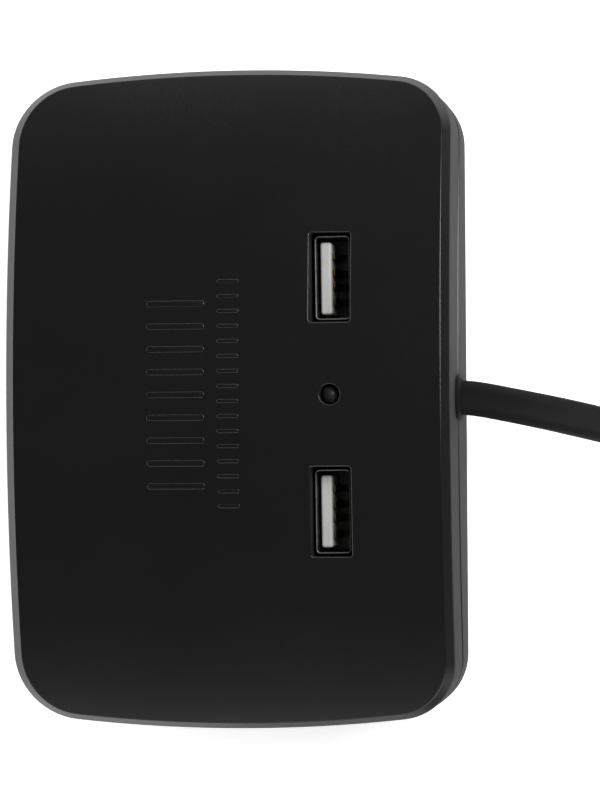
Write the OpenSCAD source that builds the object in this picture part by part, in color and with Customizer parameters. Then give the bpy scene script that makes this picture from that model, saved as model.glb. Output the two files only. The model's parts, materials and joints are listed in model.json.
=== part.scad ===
// Car socket splitter: an arched housing with three lighter sockets along one long side, two USB ports and a
// light in its face, and a flat lead that ends in a fused lighter plug. The housing lies on its flat back.
// Origin: centre of the back. +Z out of the face, +X towards the lead, +Y along the housing. Millimetres.

/* [Housing] */
// Width of the housing, from the sockets to the lead
housing_width = 69.1; // [66:0.1:90]
// Length of the housing
housing_length = 102.8; // [98:0.1:130]
// Height of the face above the back at the middle
housing_height = 34; // [33:0.1:42]
// Radius of the face's arch, which runs along the housing
face_arch_radius = 154; // [140:1:400]
// Radius of the bowed short sides
end_bow_radius = 230; // [150:1:500]
// Corner radius at the socket side
socket_corner_radius = 10.6; // [8:0.1:12]
// Corner radius at the lead side
lead_corner_radius = 9.2; // [7:0.1:11]
// Wall thickness of both shells
wall = 2; // [1.5:0.1:2.4]
// Chamfer around the face
face_chamfer = 1.4; // [0.5:0.05:1.8]
// Rounding around the back
back_fillet = 2.9; // [0.5:0.1:3.5]
// Height of the seam between the shells at the middle
seam_height = 18.5; // [16:0.1:20]
// Groove left between the shells at the seam
seam_gap = 0.3; // [0.1:0.05:0.6]

/* [Sockets] */
// Inside radius of a socket's can
socket_radius = 10.7; // [8.9:0.05:10.8]
// Distance between neighbouring sockets
socket_pitch = 27.5; // [26.5:0.1:32]
// Height of the sockets' axes above the back
socket_height = 16.5; // [16:0.1:17]
// Sheet thickness of a can
can_sheet = 0.45; // [0.3:0.05:0.6]
// Wall of the plastic sleeve around a can
sleeve_wall = 1; // [0.8:0.1:1.2]
// Thickness of the insulating disc behind a can
disc_thickness = 1.5; // [1:0.1:2.5]
// Sheet thickness of the bus strips
bus_sheet = 0.8; // [0.5:0.1:1.2]
// Room kept between the sockets and the lead side for the circuit board
board_bay = 25; // [23.5:0.5:34]

/* [USB ports] */
// Distance of the ports and the light from the lead side
port_inset = 18.5; // [17:0.1:20]
// Distance between the two ports
port_pitch = 35.86; // [30:0.1:40]
// Offset of the ports and the light along the housing
port_shift = 0.41; // [-1:0.01:1]
// Thickness of a port's metal shell across its short side
usb_shell_short = 5.6; // [5:0.1:6.5]
// Size of a port's metal shell across its long side
usb_shell_long = 13.1; // [11:0.1:15]
// Sheet thickness of a port's shell
usb_sheet = 0.3; // [0.2:0.05:0.4]
// Height of a port above the circuit board
usb_height = 13.9; // [12:0.1:15]
// Depth of a port's rim below the face
port_recess = 3; // [2.2:0.1:4]
// Gap between a port's shell and its window
port_clearance = 0.35; // [0.1:0.05:0.6]
// Radius of the light
led_radius = 1.45; // [1.2:0.05:2.5]

/* [Circuit board] */
// Thickness of the circuit board
board_thickness = 1.6; // [1:0.1:2]
// Gap between the circuit board and what stands around it
board_clearance = 0.6; // [0.3:0.1:1]

/* [Lead] */
// Width of the flat lead
lead_width = 5.4; // [4.6:0.1:6.5]
// Thickness of the flat lead
lead_thickness = 3.2; // [2.8:0.1:3.6]
// Gap between the lead and the hole that it passes through
lead_clearance = 0.5; // [0.2:0.05:0.8]

/* [Lead coil] */
// Radius of the outermost turn's middle line
coil_outer_radius = 31.8; // [30:0.1:34]
// Number of turns in each of the two layers
coil_layer_turns = 2.146; // [1.5:0.001:3]
// Distance between neighbouring turns
coil_pitch = 3.2; // [2.8:0.1:3.8]
// Thickness of the tie around the coil
tie_thickness = 0.5; // [0.3:0.1:0.8]

/* [Plug] */
// Radius of the plug's barrel
plug_radius = 10.4; // [10.2:0.05:10.45]
// Radius of the plug's grip
plug_grip_radius = 12.4; // [11.5:0.1:12.6]
// Length of the barrel
plug_barrel_length = 34; // [32:0.5:42]
// Length of the grip
plug_grip_length = 24; // [20:0.5:30]
// Length of the tapered boot behind the grip
plug_boot_length = 26; // [20:0.5:32]
// Radius of the fuse
fuse_radius = 3.15; // [2.4:0.05:3.3]
// Length of the fuse
fuse_length = 30; // [24:0.5:32]
// Travel of the plug's tip
tip_travel = 3.5; // [2:0.1:3.6]
// Travel of a side contact
side_travel = 1; // [0.5:0.1:1.1]

/* [Hidden] */
$fn = 64;

// colours
housing_black = [0.075, 0.075, 0.08];
plastic_black = [0.1, 0.1, 0.105];
rubber_black = [0.06, 0.06, 0.065];
nickel = [0.74, 0.74, 0.75];
brass = [0.8, 0.66, 0.34];
board_green = [0.08, 0.3, 0.16];
tongue_white = [0.88, 0.88, 0.86];

// gaps and small common sizes
slip = 0.05;
seat_gap = 0.1;
bite = 0.05;
beyond = 1;
inner_fillet = 0.4;

// the housing's outline, in quarters
side_steps = 6;
corner_steps = 6;
end_steps = 6;
fillet_steps = 3;
half_length = housing_length / 2;
half_width = housing_width / 2;
end_centre = half_length - end_bow_radius;

// screws
case_screw_radius = 1.45;
case_screw_head = 2.8;
case_screw_head_height = 2;
case_screw_length = 14;
case_screw_recess = 1.2;
case_boss_radius = 3.2;
screw_clearance = 0.2;
board_screw_radius = 1;
board_screw_head = 1.9;
board_screw_head_height = 1.3;
board_screw_length = 7;
board_post_radius = 2.4;

// sockets: distances along a socket's axis from its mouth
can_radius = socket_radius + can_sheet;
sleeve_bore = can_radius + slip;
sleeve_radius = sleeve_bore + sleeve_wall;
sleeve_flange = 0.4;
flange_length = 1.2;
lip_thickness = 0.5;
sleeve_back = 2;
nut_thickness = 2;
nut_radius = 3.2;
stud_radius = 1.6;
stud_spare = 1;
contact_rise = 1.5;
socket_stack = contact_rise + seat_gap + disc_thickness + sleeve_back + bus_sheet + nut_thickness + stud_spare;
can_length = housing_width - wall - board_bay - socket_stack;
disc_start = can_length + contact_rise + seat_gap;
back_start = disc_start + disc_thickness;
bus_start = back_start + sleeve_back;
nut_start = bus_start + bus_sheet;
stud_end = nut_start + nut_thickness + stud_spare;
tab_width = 4;
tab_gap = 0.2;
tab_radius = socket_radius + can_sheet / 2;
bus_width = 6;
socket_places = [for (i = [-1:1]) i * socket_pitch];

// ports
port_x = half_width - port_inset;
port_places = [port_shift + port_pitch / 2, port_shift - port_pitch / 2];
usb_inner_short = usb_shell_short - 2 * usb_sheet;
usb_inner_long = usb_shell_long - 2 * usb_sheet;
window_short = usb_shell_short + 2 * port_clearance;
window_long = usb_shell_long + 2 * port_clearance;
collar_wall = 1.1;
collar_depth = port_recess + 2;
rim_z = face_z(port_pitch / 2) - port_recess;
tongue_thickness = 1.84;
tongue_width = 11.1;
tongue_gap = 0.47;
tongue_recess = 1.4;
usb_base_height = 3.6;
usb_base_gap = 0.04;
contact_width = 1;
contact_sheet = 0.22;
contact_places = [-3.5, -1, 1, 3.5];
led_hole_gap = 0.15;
led_recess = 1;
led_body_height = 4.2;
led_flange = 0.4;
led_lead = 0.25;
led_lead_pitch = 1.27;
led_hood_wall = 1;

// circuit board
board_top = rim_z - usb_height;
board_low = board_top - board_thickness;
board_x0 = -half_width + stud_end + board_clearance;
board_x1 = half_width - wall - board_clearance;
board_half_length = port_pitch / 2 + 14.5;
board_post_x = board_x1 - board_post_radius - 0.6;
board_post_y = board_half_length - board_post_radius - 0.6;
part_x = board_x1 - 5.2;
capacitor_places = [port_shift + 10.5, port_shift + 17.8];

// lead: exit and inside end
lead_z = seam_height;
clamp_length = 5;
clamp_half_width = lead_width / 2 + 3.2;
clamp_half_height = lead_thickness / 2 + 0.8;
clamp_x1 = half_width - wall - seat_gap;
clamp_x0 = clamp_x1 - clamp_length;
lead_x0 = clamp_x0 - 1.2;
core_radius = 0.8;
core_offset = lead_width / 4;

// The lead's free route from the housing to its coil: x, y, z and the twist about its own run in degrees.
// It leaves level, sinks to the surface and turns on edge on the way.
lead_route = [
    [lead_x0, 0, 18.5, 0], [33, 0, 18.5, 0], [35.5, -0.05, 18.5, 0], [38, -0.35, 18.45, 0],
    [41, -0.92, 18.3, 0], [44, -1.53, 18.1, 0], [47, -2.17, 17.7, -4], [50, -2.82, 17.2, -9],
    [56, -4.25, 15.8, -20], [63, -6.1, 13.3, -36], [70, -7.9, 10.4, -52], [78, -9.7, 7.1, -68],
    [86, -11.3, 4.7, -80], [94, -12.6, 3.5, -88], [102.2, -14.3, 3.2, -90]];
// The lead's free route from the coil to the plug, on edge.
tail_route = [
    [121.5, -60.9, 8.6, -90], [116.3, -70, 9, -90], [111.1, -79, 9.6, -90], [106.8, -84.2, 10.2, -90],
    [101.2, -88.6, 11, -90], [96.4, -91.5, 11.8, -90], [91, -93.9, 12.4, -90],
    [85 + slip, -94, plug_grip_radius, -90]];
coil_centre = [94, -45, 0];
coil_inner_radius = coil_outer_radius - coil_layer_turns * coil_pitch;
coil_bottom = tie_thickness;
coil_height = 2 * lead_width;
tie_width = 6;
tie_gap = 0.15;
tie_angle = 165;

// plug: distances along its axis from the end of its boot, with the tip at the far end
plug_place = [85, -94, plug_grip_radius];
grip_start = plug_boot_length;
barrel_start = grip_start + plug_grip_length;
nose_start = barrel_start + plug_barrel_length;
nose_length = 8;
nose_end = nose_start + nose_length;
nose_radius = 10.2;
nose_thread_radius = 6.6;
nose_thread_length = 6;
nose_bore = 5.3;
thread_gap = 0.1;
tip_radius = 3.6;
tip_gap = 0.15;
tip_flange_radius = 5;
tip_flange = 2;
tip_shoulder = nose_start + 4;
tip_proud = 4;
fuse_end = tip_shoulder - tip_flange;
fuse_start = fuse_end - fuse_length;
fuse_bore = fuse_radius + 0.25;
spring_length = tip_travel + 6;
spring_radius = fuse_radius - 0.35;
spring_wire = 0.35;
spring_turns = 6;
terminal_thickness = 1.5;
terminal_start = fuse_start - spring_length - terminal_thickness;
side_length = 20;
side_width = 4.6;
side_sheet = 0.6;
side_bow = 1.6;
side_proud = 0.9;
side_start = barrel_start + 8;
side_slot_gap = 0.25;
side_slot_floor = plug_radius + side_proud - side_bow - side_sheet - side_travel - 0.25;
bow_radius = (pow(side_length / 2, 2) + pow(side_bow, 2)) / (2 * side_bow);

// ---- functions ----

// Height of the arched face above the back at a distance y along the housing.
function face_z(y) = housing_height - face_arch_radius + sqrt(pow(face_arch_radius, 2) - y * y);

// Middle of a corner's arc at the +Y end: it touches the long side and the bowed end.
function corner_y(r) = end_centre + sqrt(pow(end_bow_radius - r, 2) - pow(half_width - r, 2));

// Angle at which that corner's arc runs into the bowed end.
function corner_angle(r) = atan2(corner_y(r) - end_centre, half_width - r);

// The corner's arc and half of the long side, from the middle of the side to the bowed end, for x > 0.
function side_points(r, inset) = concat(
    [for (k = [0:side_steps - 1]) [half_width - inset, corner_y(r) * k / side_steps]],
    [for (k = [0:corner_steps - 1]) let (a = corner_angle(r) * k / corner_steps)
        [half_width - r + (r - inset) * cos(a), corner_y(r) + (r - inset) * sin(a)]]);

function flip(points) = [for (k = [len(points) - 1:-1:0]) [-points[k][0], points[k][1]]];

// Half of the outline, y >= 0, from the lead side round to the socket side.
function half_outline(inset) = let (
    a0 = corner_angle(lead_corner_radius),
    a1 = 180 - corner_angle(socket_corner_radius),
    end = [for (k = [0:end_steps]) let (a = a0 + (a1 - a0) * k / end_steps)
        [(end_bow_radius - inset) * cos(a), end_centre + (end_bow_radius - inset) * sin(a)]])
    concat(side_points(lead_corner_radius, inset), end, flip(side_points(socket_corner_radius, inset)));

// The whole outline, anticlockwise.
function outline(inset) = let (h = half_outline(inset), n = len(h))
    concat(h, [for (k = [n - 2:-1:1]) [h[k][0], -h[k][1]]]);

function ring(inset, drop, rise) = [for (p = outline(inset)) [p[0], p[1], rise > 0 ? rise : face_z(p[1]) - drop]];

// Faces between rings of n points each.
function band_faces(n, rings) = [for (j = [0:rings - 2]) for (i = [0:n - 1]) let (k = (i + 1) % n)
    each [[j * n + i, (j + 1) * n + k, j * n + k], [j * n + i, (j + 1) * n + i, (j + 1) * n + k]]];

// Strips that close a ring from its lead side to its socket side.
function cap_faces(n, first, up) = let (m = n / 2) concat(
    [for (k = [0:m / 2 - 1]) for (f = [[k, k + 1, m - k - 1], [k, m - k - 1, m - k]])
        up ? [first + f[0], first + f[2], first + f[1]] : [first + f[0], first + f[1], first + f[2]]],
    [for (k = [0:m / 2 - 1]) let (a = (n - k) % n, b = n - k - 1, c = m + k + 1, d = m + k)
        for (f = [[a, c, b], [a, d, c]])
        up ? [first + f[0], first + f[2], first + f[1]] : [first + f[0], first + f[1], first + f[2]]]);

function unit(v) = v / norm(v);

// Direction of a route at point i.
function heading(route, i) = let (a = route[max(i - 1, 0)], b = route[min(i + 1, len(route) - 1)])
    unit([b[0] - a[0], b[1] - a[1], b[2] - a[2]]);

// A flat section with cut corners, eight points.
function flat_section(w, h) = let (c = h / 4)
    [[w / 2, -c], [w / 2, c], [w / 2 - c, h / 2], [c - w / 2, h / 2],
    [-w / 2, c], [-w / 2, -c], [c - w / 2, -h / 2], [w / 2 - c, -h / 2]];

function round_section(r) = [for (a = [22.5:45:360]) [r * cos(a), r * sin(a)]];

// ---- helpers ----

// The housing's form, shrunk by inset on every side, with a rounded back edge and a rounded or cut face edge.
module housing_form(inset, top_round, back_round, top_steps = fillet_steps) {
    angles = [for (k = [0:fillet_steps]) 90 * k / fillet_steps];
    backs = [for (a = angles) ring(inset + back_round * (1 - sin(a)), 0, inset + back_round * (1 - cos(a)) + 0.0001)];
    tops = [for (k = [0:top_steps]) let (a = 90 * k / top_steps)
        ring(inset + top_round * (1 - cos(a)), inset + top_round * (1 - sin(a)), 0)];
    points = [for (r = concat(backs, tops)) each r];
    n = len(outline(0));
    rings = len(backs) + len(tops);
    polyhedron(points, concat(cap_faces(n, 0, false), band_faces(n, rings), cap_faces(n, (rings - 1) * n, true)),
        convexity = 6);
}

module housing_shell() {
    difference() {
        housing_form(0, face_chamfer, back_fillet, 1);
        housing_form(wall, inner_fillet, inner_fillet);
    }
}

// Everything below the seam, raised by rise.
module below_seam(rise) {
    translate([0, 0, seam_height + rise - face_arch_radius])
        rotate([0, 90, 0]) cylinder(r = face_arch_radius, h = housing_width + 20, center = true, $fn = 180);
}

// The space inside the middle of the walls, which trims bosses and ribs.
module inside_walls() {
    housing_form(wall / 2, inner_fillet, inner_fillet);
}

module at_sockets(places = socket_places) {
    for (y = places) translate([-half_width, y, socket_height]) rotate([0, 90, 0]) children();
}

module at_socket(i) {
    at_sockets([socket_places[i]]) children();
}

module at_case_screws() {
    for (s = [-1, 1]) {
        translate([-14, s * (corner_y(socket_corner_radius) + 5.1), 0]) children();
        translate([half_width - 8.6, s * (corner_y(lead_corner_radius) - 0.6), 0]) children();
    }
}

module at_board_posts() {
    for (s = [-1, 1]) translate([board_post_x, s * board_post_y, 0]) children();
}

module box(x0, x1, y0, y1, z0, z1) {
    translate([x0, y0, z0]) cube([x1 - x0, y1 - y0, z1 - z0]);
}

// A straight-sided slot with round ends, long across y, from z 0 to h.
module slot(w, t, h) {
    linear_extrude(h) union() {
        square([t, w - t], center = true);
        for (s = [-1, 1]) translate([0, s * (w - t) / 2]) circle(d = t);
    }
}

module tube(outer, inner, h) {
    difference() {
        cylinder(r = outer, h = h);
        translate([0, 0, -beyond]) cylinder(r = inner, h = h + 2 * beyond);
    }
}

// A section swept along a route of [x, y, z, twist]; level is square to every bend of the route.
module sweep(route, section, level = [0, 0, 1]) {
    n = len(section);
    points = [for (i = [0:len(route) - 1]) let (
        t = heading(route, i),
        s = unit(cross(level, t)),
        u = cross(t, s),
        a = len(route[i]) > 3 ? route[i][3] : 0,
        p = [route[i][0], route[i][1], route[i][2]])
        each [for (q = section) p + s * (q[0] * cos(a) - q[1] * sin(a)) + u * (q[0] * sin(a) + q[1] * cos(a))]];
    last = len(points) - n;
    polyhedron(points, concat(
        [[for (i = [0:n - 1]) i]],
        [for (j = [0:len(route) - 2]) for (i = [0:n - 1]) let (k = (i + 1) % n)
            each [[j * n + i, (j + 1) * n + k, j * n + k], [j * n + i, (j + 1) * n + i, (j + 1) * n + k]]],
        [[for (i = [n - 1:-1:0]) last + i]]), convexity = 6);
}

module cross_recess(r, depth) {
    for (a = [0, 90]) rotate([0, 0, a])
        translate([-r, -0.3, -beyond]) cube([2 * r, 0.6, depth + beyond]);
}

// ---- housing ----

module port_windows() {
    for (y = port_places) translate([port_x - window_short / 2, y - window_long / 2, board_top])
        cube([window_short, window_long, housing_height]);
    translate([port_x, port_shift, board_top + 2]) cylinder(r = led_radius + led_hole_gap, h = housing_height);
}

module lead_hole() {
    translate([half_width - wall - beyond, 0, lead_z]) rotate([0, 90, 0])
        slot(lead_width + 2 * lead_clearance, lead_thickness + 2 * lead_clearance, wall + 2 * beyond);
}

module socket_holes() {
    at_sockets() translate([0, 0, -beyond]) cylinder(r = sleeve_radius + seat_gap, h = wall + 2 * beyond);
}

// Collars around the ports, bosses, board posts and the rib over the lead clamp.
module cover_inner() {
    for (y = port_places) {
        collar_x = window_short / 2 + collar_wall;
        collar_y = window_long / 2 + collar_wall;
        box(port_x - collar_x, port_x + collar_x, y - collar_y, y + collar_y,
            face_z(port_pitch / 2) - collar_depth, housing_height);
    }
    translate([port_x, port_shift, rim_z - 1])
        cylinder(r = led_radius + led_hole_gap + led_hood_wall, h = housing_height);
    at_case_screws() cylinder(r = case_boss_radius, h = housing_height);
    at_board_posts() translate([0, 0, board_top]) cylinder(r = board_post_radius, h = housing_height);
    box(clamp_x0 + 1, clamp_x0 + 3, -clamp_half_width, clamp_half_width,
        lead_z + clamp_half_height, housing_height);
}

module front_cover() {
    screw_reach = case_screw_recess + case_screw_head_height + case_screw_length + 1;
    color(housing_black) difference() {
        union() {
            housing_shell();
            intersection() {
                cover_inner();
                inside_walls();
            }
        }
        below_seam(seam_gap);
        port_windows();
        socket_holes();
        at_sockets() translate([0, 0, wall])
            cylinder(r = sleeve_radius + sleeve_flange + seat_gap, h = flange_length + 2 * seat_gap);
        lead_hole();
        at_case_screws() cylinder(r = case_screw_radius + bite, h = screw_reach);
        at_board_posts() translate([0, 0, board_top - beyond])
            cylinder(r = board_screw_radius + bite, h = board_screw_length + beyond);
    }
}

// Bosses, cradles under the sockets, and the saddle under the lead clamp.
module case_inner() {
    at_case_screws() cylinder(r = case_boss_radius, h = housing_height);
    for (x = [6, can_length - 4]) box(x - half_width, x - half_width + 1.6,
        -socket_pitch - sleeve_radius + 2, socket_pitch + sleeve_radius - 2, 0, socket_height - 7);
    box(clamp_x0, half_width, -clamp_half_width, clamp_half_width, 0, lead_z - clamp_half_height);
}

module rear_case() {
    color(housing_black) difference() {
        union() {
            housing_shell();
            intersection() {
                case_inner();
                inside_walls();
            }
        }
        difference() {
            translate([0, 0, housing_height / 2 + 2]) cube([2 * housing_width, 2 * housing_length, housing_height],
                center = true);
            below_seam(0);
        }
        socket_holes();
        at_sockets() translate([0, 0, wall]) cylinder(r = sleeve_radius + seat_gap, h = can_length);
        lead_hole();
        at_case_screws() {
            translate([0, 0, -beyond]) cylinder(r = case_screw_radius + screw_clearance, h = housing_height);
            translate([0, 0, -beyond]) cylinder(r = case_screw_head + screw_clearance,
                h = beyond + case_screw_recess + case_screw_head_height);
        }
    }
}

module case_screws() {
    color(nickel) at_case_screws() translate([0, 0, case_screw_recess]) difference() {
        union() {
            cylinder(r = case_screw_head, h = case_screw_head_height);
            cylinder(r = case_screw_radius, h = case_screw_head_height + case_screw_length);
        }
        cross_recess(case_screw_head * 0.6, case_screw_head_height * 0.6);
    }
}

// ---- sockets ----

module tab_slot(depth0, depth1, spare) {
    translate([tab_radius - can_sheet / 2 - spare, -tab_width / 2 - spare, depth0])
        cube([can_sheet + 2 * spare, tab_width + 2 * spare, depth1 - depth0]);
}

module socket_sleeve(i) {
    color(plastic_black) at_socket(i) difference() {
        union() {
            translate([0, 0, lip_thickness]) cylinder(r = sleeve_radius, h = bus_start - lip_thickness);
            translate([0, 0, wall + seat_gap]) cylinder(r = sleeve_radius + sleeve_flange, h = flange_length);
        }
        translate([0, 0, -beyond]) cylinder(r = sleeve_bore, h = back_start + beyond);
        cylinder(r = stud_radius + seat_gap, h = bus_start + beyond);
        tab_slot(can_length - beyond, bus_start + beyond, tab_gap);
    }
}

module socket_can(i) {
    color(nickel) at_socket(i) {
        tube(can_radius, socket_radius, can_length);
        difference() {
            cylinder(r = sleeve_radius, h = lip_thickness);
            translate([0, 0, -beyond]) cylinder(r = socket_radius, h = lip_thickness + 2 * beyond);
        }
        tab_slot(can_length - 0.5, nut_start + 1, 0);
    }
}

module socket_insulator(i) {
    color([0.55, 0.3, 0.16]) at_socket(i) translate([0, 0, disc_start]) difference() {
        cylinder(r = can_radius, h = disc_thickness);
        translate([0, 0, -beyond]) cylinder(r = stud_radius + seat_gap, h = disc_thickness + 2 * beyond);
        tab_slot(-beyond, disc_thickness + beyond, tab_gap);
    }
}

module centre_contact(i) {
    color(brass) at_socket(i) {
        translate([0, 0, disc_start - 1]) cylinder(r = 4.2, h = 1);
        translate([0, 0, disc_start - contact_rise]) cylinder(r1 = 3.4, r2 = 4.2, h = contact_rise - 1);
        translate([0, 0, disc_start - 1]) cylinder(r = stud_radius, h = stud_end - disc_start + 1);
    }
}

module contact_nuts() {
    color(nickel) at_sockets() translate([0, 0, nut_start]) difference() {
        cylinder(r = nut_radius, h = nut_thickness, $fn = 6);
        translate([0, 0, -beyond]) cylinder(r = stud_radius + bite, h = nut_thickness + 2 * beyond);
    }
}

// A strip across the backs of the three sockets, centred at a height.
module bus_strip(z) {
    reach = socket_pitch + 5;
    box(bus_start - half_width, nut_start - half_width, -reach, reach, z - bus_width / 2, z + bus_width / 2);
}

module positive_bus() {
    color(brass) difference() {
        bus_strip(socket_height);
        at_sockets() cylinder(r = stud_radius + seat_gap, h = stud_end);
    }
}

module negative_bus() {
    color(brass) difference() {
        bus_strip(socket_height - tab_radius + 1);
        at_sockets() tab_slot(bus_start - beyond, stud_end, tab_gap / 2);
    }
}

// ---- ports and light ----

module at_port(i) {
    translate([port_x, port_places[i], 0]) children();
}

module usb_shell(i) {
    color(nickel) at_port(i) difference() {
        translate([-usb_shell_short / 2, -usb_shell_long / 2, board_top])
            cube([usb_shell_short, usb_shell_long, usb_height]);
        translate([-usb_inner_short / 2, -usb_inner_long / 2, board_top - beyond])
            cube([usb_inner_short, usb_inner_long, usb_height + 2 * beyond]);
    }
}

module usb_tongue(i) {
    color(tongue_white) at_port(i) {
        base_short = usb_inner_short - 2 * usb_base_gap;
        base_long = usb_inner_long - 2 * usb_base_gap;
        box(-base_short / 2, base_short / 2, -base_long / 2, base_long / 2, board_top, board_top + usb_base_height);
        translate([tongue_gap - usb_inner_short / 2, -tongue_width / 2, board_top + usb_base_height])
            cube([tongue_thickness, tongue_width, usb_height - usb_base_height - tongue_recess]);
    }
}

module usb_contacts(i) {
    foot = board_top + usb_base_height;
    color(brass) at_port(i)
        translate([tongue_gap - usb_inner_short / 2 + tongue_thickness, 0, 0])
        for (y = contact_places) translate([0, y - contact_width / 2, foot])
            cube([contact_sheet, contact_width, usb_height - usb_base_height - tongue_recess - 0.8]);
}

module indicator_led() {
    top = face_z(port_shift) - led_recess;
    color([0.5, 0.12, 0.1]) translate([port_x, port_shift, 0]) {
        translate([0, 0, top - led_radius]) sphere(r = led_radius);
        translate([0, 0, top - led_radius - led_body_height]) cylinder(r = led_radius, h = led_body_height);
        translate([0, 0, top - led_radius - led_body_height]) cylinder(r = led_radius + led_flange, h = 1);
        for (s = [-1, 1]) box(-led_lead, led_lead, s * led_lead_pitch / 2 - led_lead, s * led_lead_pitch / 2 + led_lead,
            board_top, top - led_radius - led_body_height + 0.5);
    }
}

// ---- circuit board ----

module circuit_board() {
    color(board_green) difference() {
        box(board_x0, board_x1, -board_half_length, board_half_length, board_low, board_top);
        box(clamp_x0 - board_clearance, half_width, -clamp_half_width - board_clearance,
            clamp_half_width + board_clearance, board_low - beyond, board_top + beyond);
        at_board_posts() translate([0, 0, board_low - beyond])
            cylinder(r = board_screw_radius + screw_clearance, h = board_thickness + 2 * beyond);
        for (y = capacitor_places) on_board(part_x, y) capacitor_leads(0.35);
    }
}

module board_screws() {
    color(nickel) at_board_posts() translate([0, 0, board_low - board_screw_head_height]) difference() {
        union() {
            cylinder(r = board_screw_head, h = board_screw_head_height);
            cylinder(r = board_screw_radius, h = board_screw_head_height + board_screw_length);
        }
        cross_recess(board_screw_head * 0.6, board_screw_head_height * 0.6);
    }
}

module on_board(x, y) {
    translate([x, y, board_top]) children();
}

module inductor_core() {
    color([0.25, 0.25, 0.27]) on_board(part_x, port_shift - 12.5) {
        cylinder(r = 4.4, h = 1);
        cylinder(r = 2, h = 6);
        translate([0, 0, 5]) cylinder(r = 4.4, h = 1);
    }
}

module inductor_winding() {
    color([0.72, 0.38, 0.2]) on_board(part_x, port_shift - 12.5) translate([0, 0, 1]) difference() {
        cylinder(r = 3.9, h = 4);
        translate([0, 0, -beyond]) cylinder(r = 2, h = 4 + 2 * beyond);
    }
}

module capacitor(y) {
    color([0.12, 0.14, 0.2]) on_board(part_x, y) {
        cylinder(r = 3.15, h = 8);
        capacitor_leads(0.25);
    }
}

module capacitor_leads(r) {
    for (s = [-1, 1]) translate([0, s * 1.25, -board_thickness - 1]) cylinder(r = r, h = board_thickness + 1 + bite);
}

module regulator_chip() {
    color([0.09, 0.09, 0.1]) on_board(part_x, port_shift - 21.5) {
        translate([-2, -2.5, 0]) cube([4, 5, 1.5]);
        for (s = [-1, 1]) for (k = [-1.5:1.5]) translate([s * 2.5 - 0.6, k * 1.27 - 0.2, 0]) cube([1.2, 0.4, 0.3]);
    }
}

module diode() {
    color([0.09, 0.09, 0.1]) on_board(part_x, port_shift + 24.5) {
        translate([-1.3, -2.2, 0]) cube([2.6, 4.4, 2.1]);
        translate([-0.7, -2.7, 0]) cube([1.4, 5.4, 0.3]);
    }
}

module chip_parts() {
    color([0.65, 0.6, 0.5]) for (y = [-7.5:3:7.5])
        on_board(port_x + 5.2, port_shift + y) translate([-0.6, -1, 0]) cube([1.2, 2, 0.6]);
}

// ---- wires inside ----

module bus_wire(route) {
    sweep(route, round_section(core_radius), [0, 1, 0]);
}

bus_face = nut_start - half_width;
wire_y = socket_pitch / 2 - 4;

module bus_wire_positive() {
    z = socket_height;
    color([0.6, 0.08, 0.07]) bus_wire([[bus_face, wire_y, z], [bus_face + 1.2, wire_y, z],
        [bus_face + 2.6, wire_y, z + 0.9], [board_x0 + 0.6, wire_y, board_top + 3],
        [board_x0 + 1.8, wire_y, board_top + 2], [board_x0 + 2, wire_y, board_top + 0.8],
        [board_x0 + 2, wire_y, board_top]]);
}

module bus_wire_negative() {
    z = socket_height - tab_radius + 1;
    color([0.07, 0.07, 0.08]) bus_wire([[bus_face, wire_y, z], [bus_face + 1.2, wire_y, z],
        [board_x0, wire_y, z + 0.8], [board_x0 + 1.6, wire_y, z + 2.4], [board_x0 + 2, wire_y, board_low - 1.2],
        [board_x0 + 2, wire_y, board_low]]);
}

module lead_wire(s) {
    y = s * core_offset;
    bus_wire([[lead_x0, y, lead_z], [lead_x0 - 1, y, lead_z], [lead_x0 - 2, y, lead_z - 0.5],
        [lead_x0 - 2.5, y, lead_z - 1.4], [lead_x0 - 2.5, y, board_top]]);
}

module lead_wire_positive() {
    color([0.6, 0.08, 0.07]) lead_wire(1);
}

module lead_wire_negative() {
    color([0.07, 0.07, 0.08]) lead_wire(-1);
}

// ---- lead ----

module cord_clamp() {
    color(rubber_black) difference() {
        box(clamp_x0, clamp_x1, -clamp_half_width, clamp_half_width,
            lead_z - clamp_half_height + slip, lead_z + clamp_half_height - slip);
        translate([clamp_x0 - beyond, 0, lead_z]) rotate([90, 0, 90]) linear_extrude(clamp_length + 2 * beyond)
            polygon(flat_section(lead_width + 2 * seat_gap, lead_thickness + 2 * seat_gap));
    }
}

module cord_lead() {
    color(rubber_black) sweep(lead_route, flat_section(lead_width, lead_thickness));
}

module cord_coil() {
    color(rubber_black) translate([coil_centre[0], coil_centre[1], coil_bottom])
        tube(coil_outer_radius + lead_thickness / 2, coil_inner_radius - lead_thickness / 2, coil_height);
}

module cord_tail() {
    color(rubber_black) sweep(tail_route, flat_section(lead_width, lead_thickness));
}

module cord_tie() {
    inner = sqrt(pow(coil_inner_radius - lead_thickness / 2, 2) - pow(tie_width / 2, 2)) - tie_gap;
    outer = coil_outer_radius + lead_thickness / 2 + tie_gap;
    high = coil_bottom + coil_height + tie_gap;
    t = tie_thickness;
    color(plastic_black) translate(coil_centre) rotate([0, 0, tie_angle]) difference() {
        box(inner - t, outer + t, -tie_width / 2, tie_width / 2, 0, high + t);
        box(inner, outer, -tie_width, tie_width, coil_bottom, high);
    }
}

// ---- plug ----

module at_plug() {
    translate(plug_place) rotate([0, -90, 0]) children();
}

module side_pocket(s) {
    translate([-side_width / 2 - side_slot_gap, s > 0 ? side_slot_floor : -plug_grip_radius - beyond,
        side_start - side_slot_gap])
        cube([side_width + 2 * side_slot_gap, plug_grip_radius + beyond - side_slot_floor,
        side_length + 2 * side_slot_gap]);
}

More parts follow.
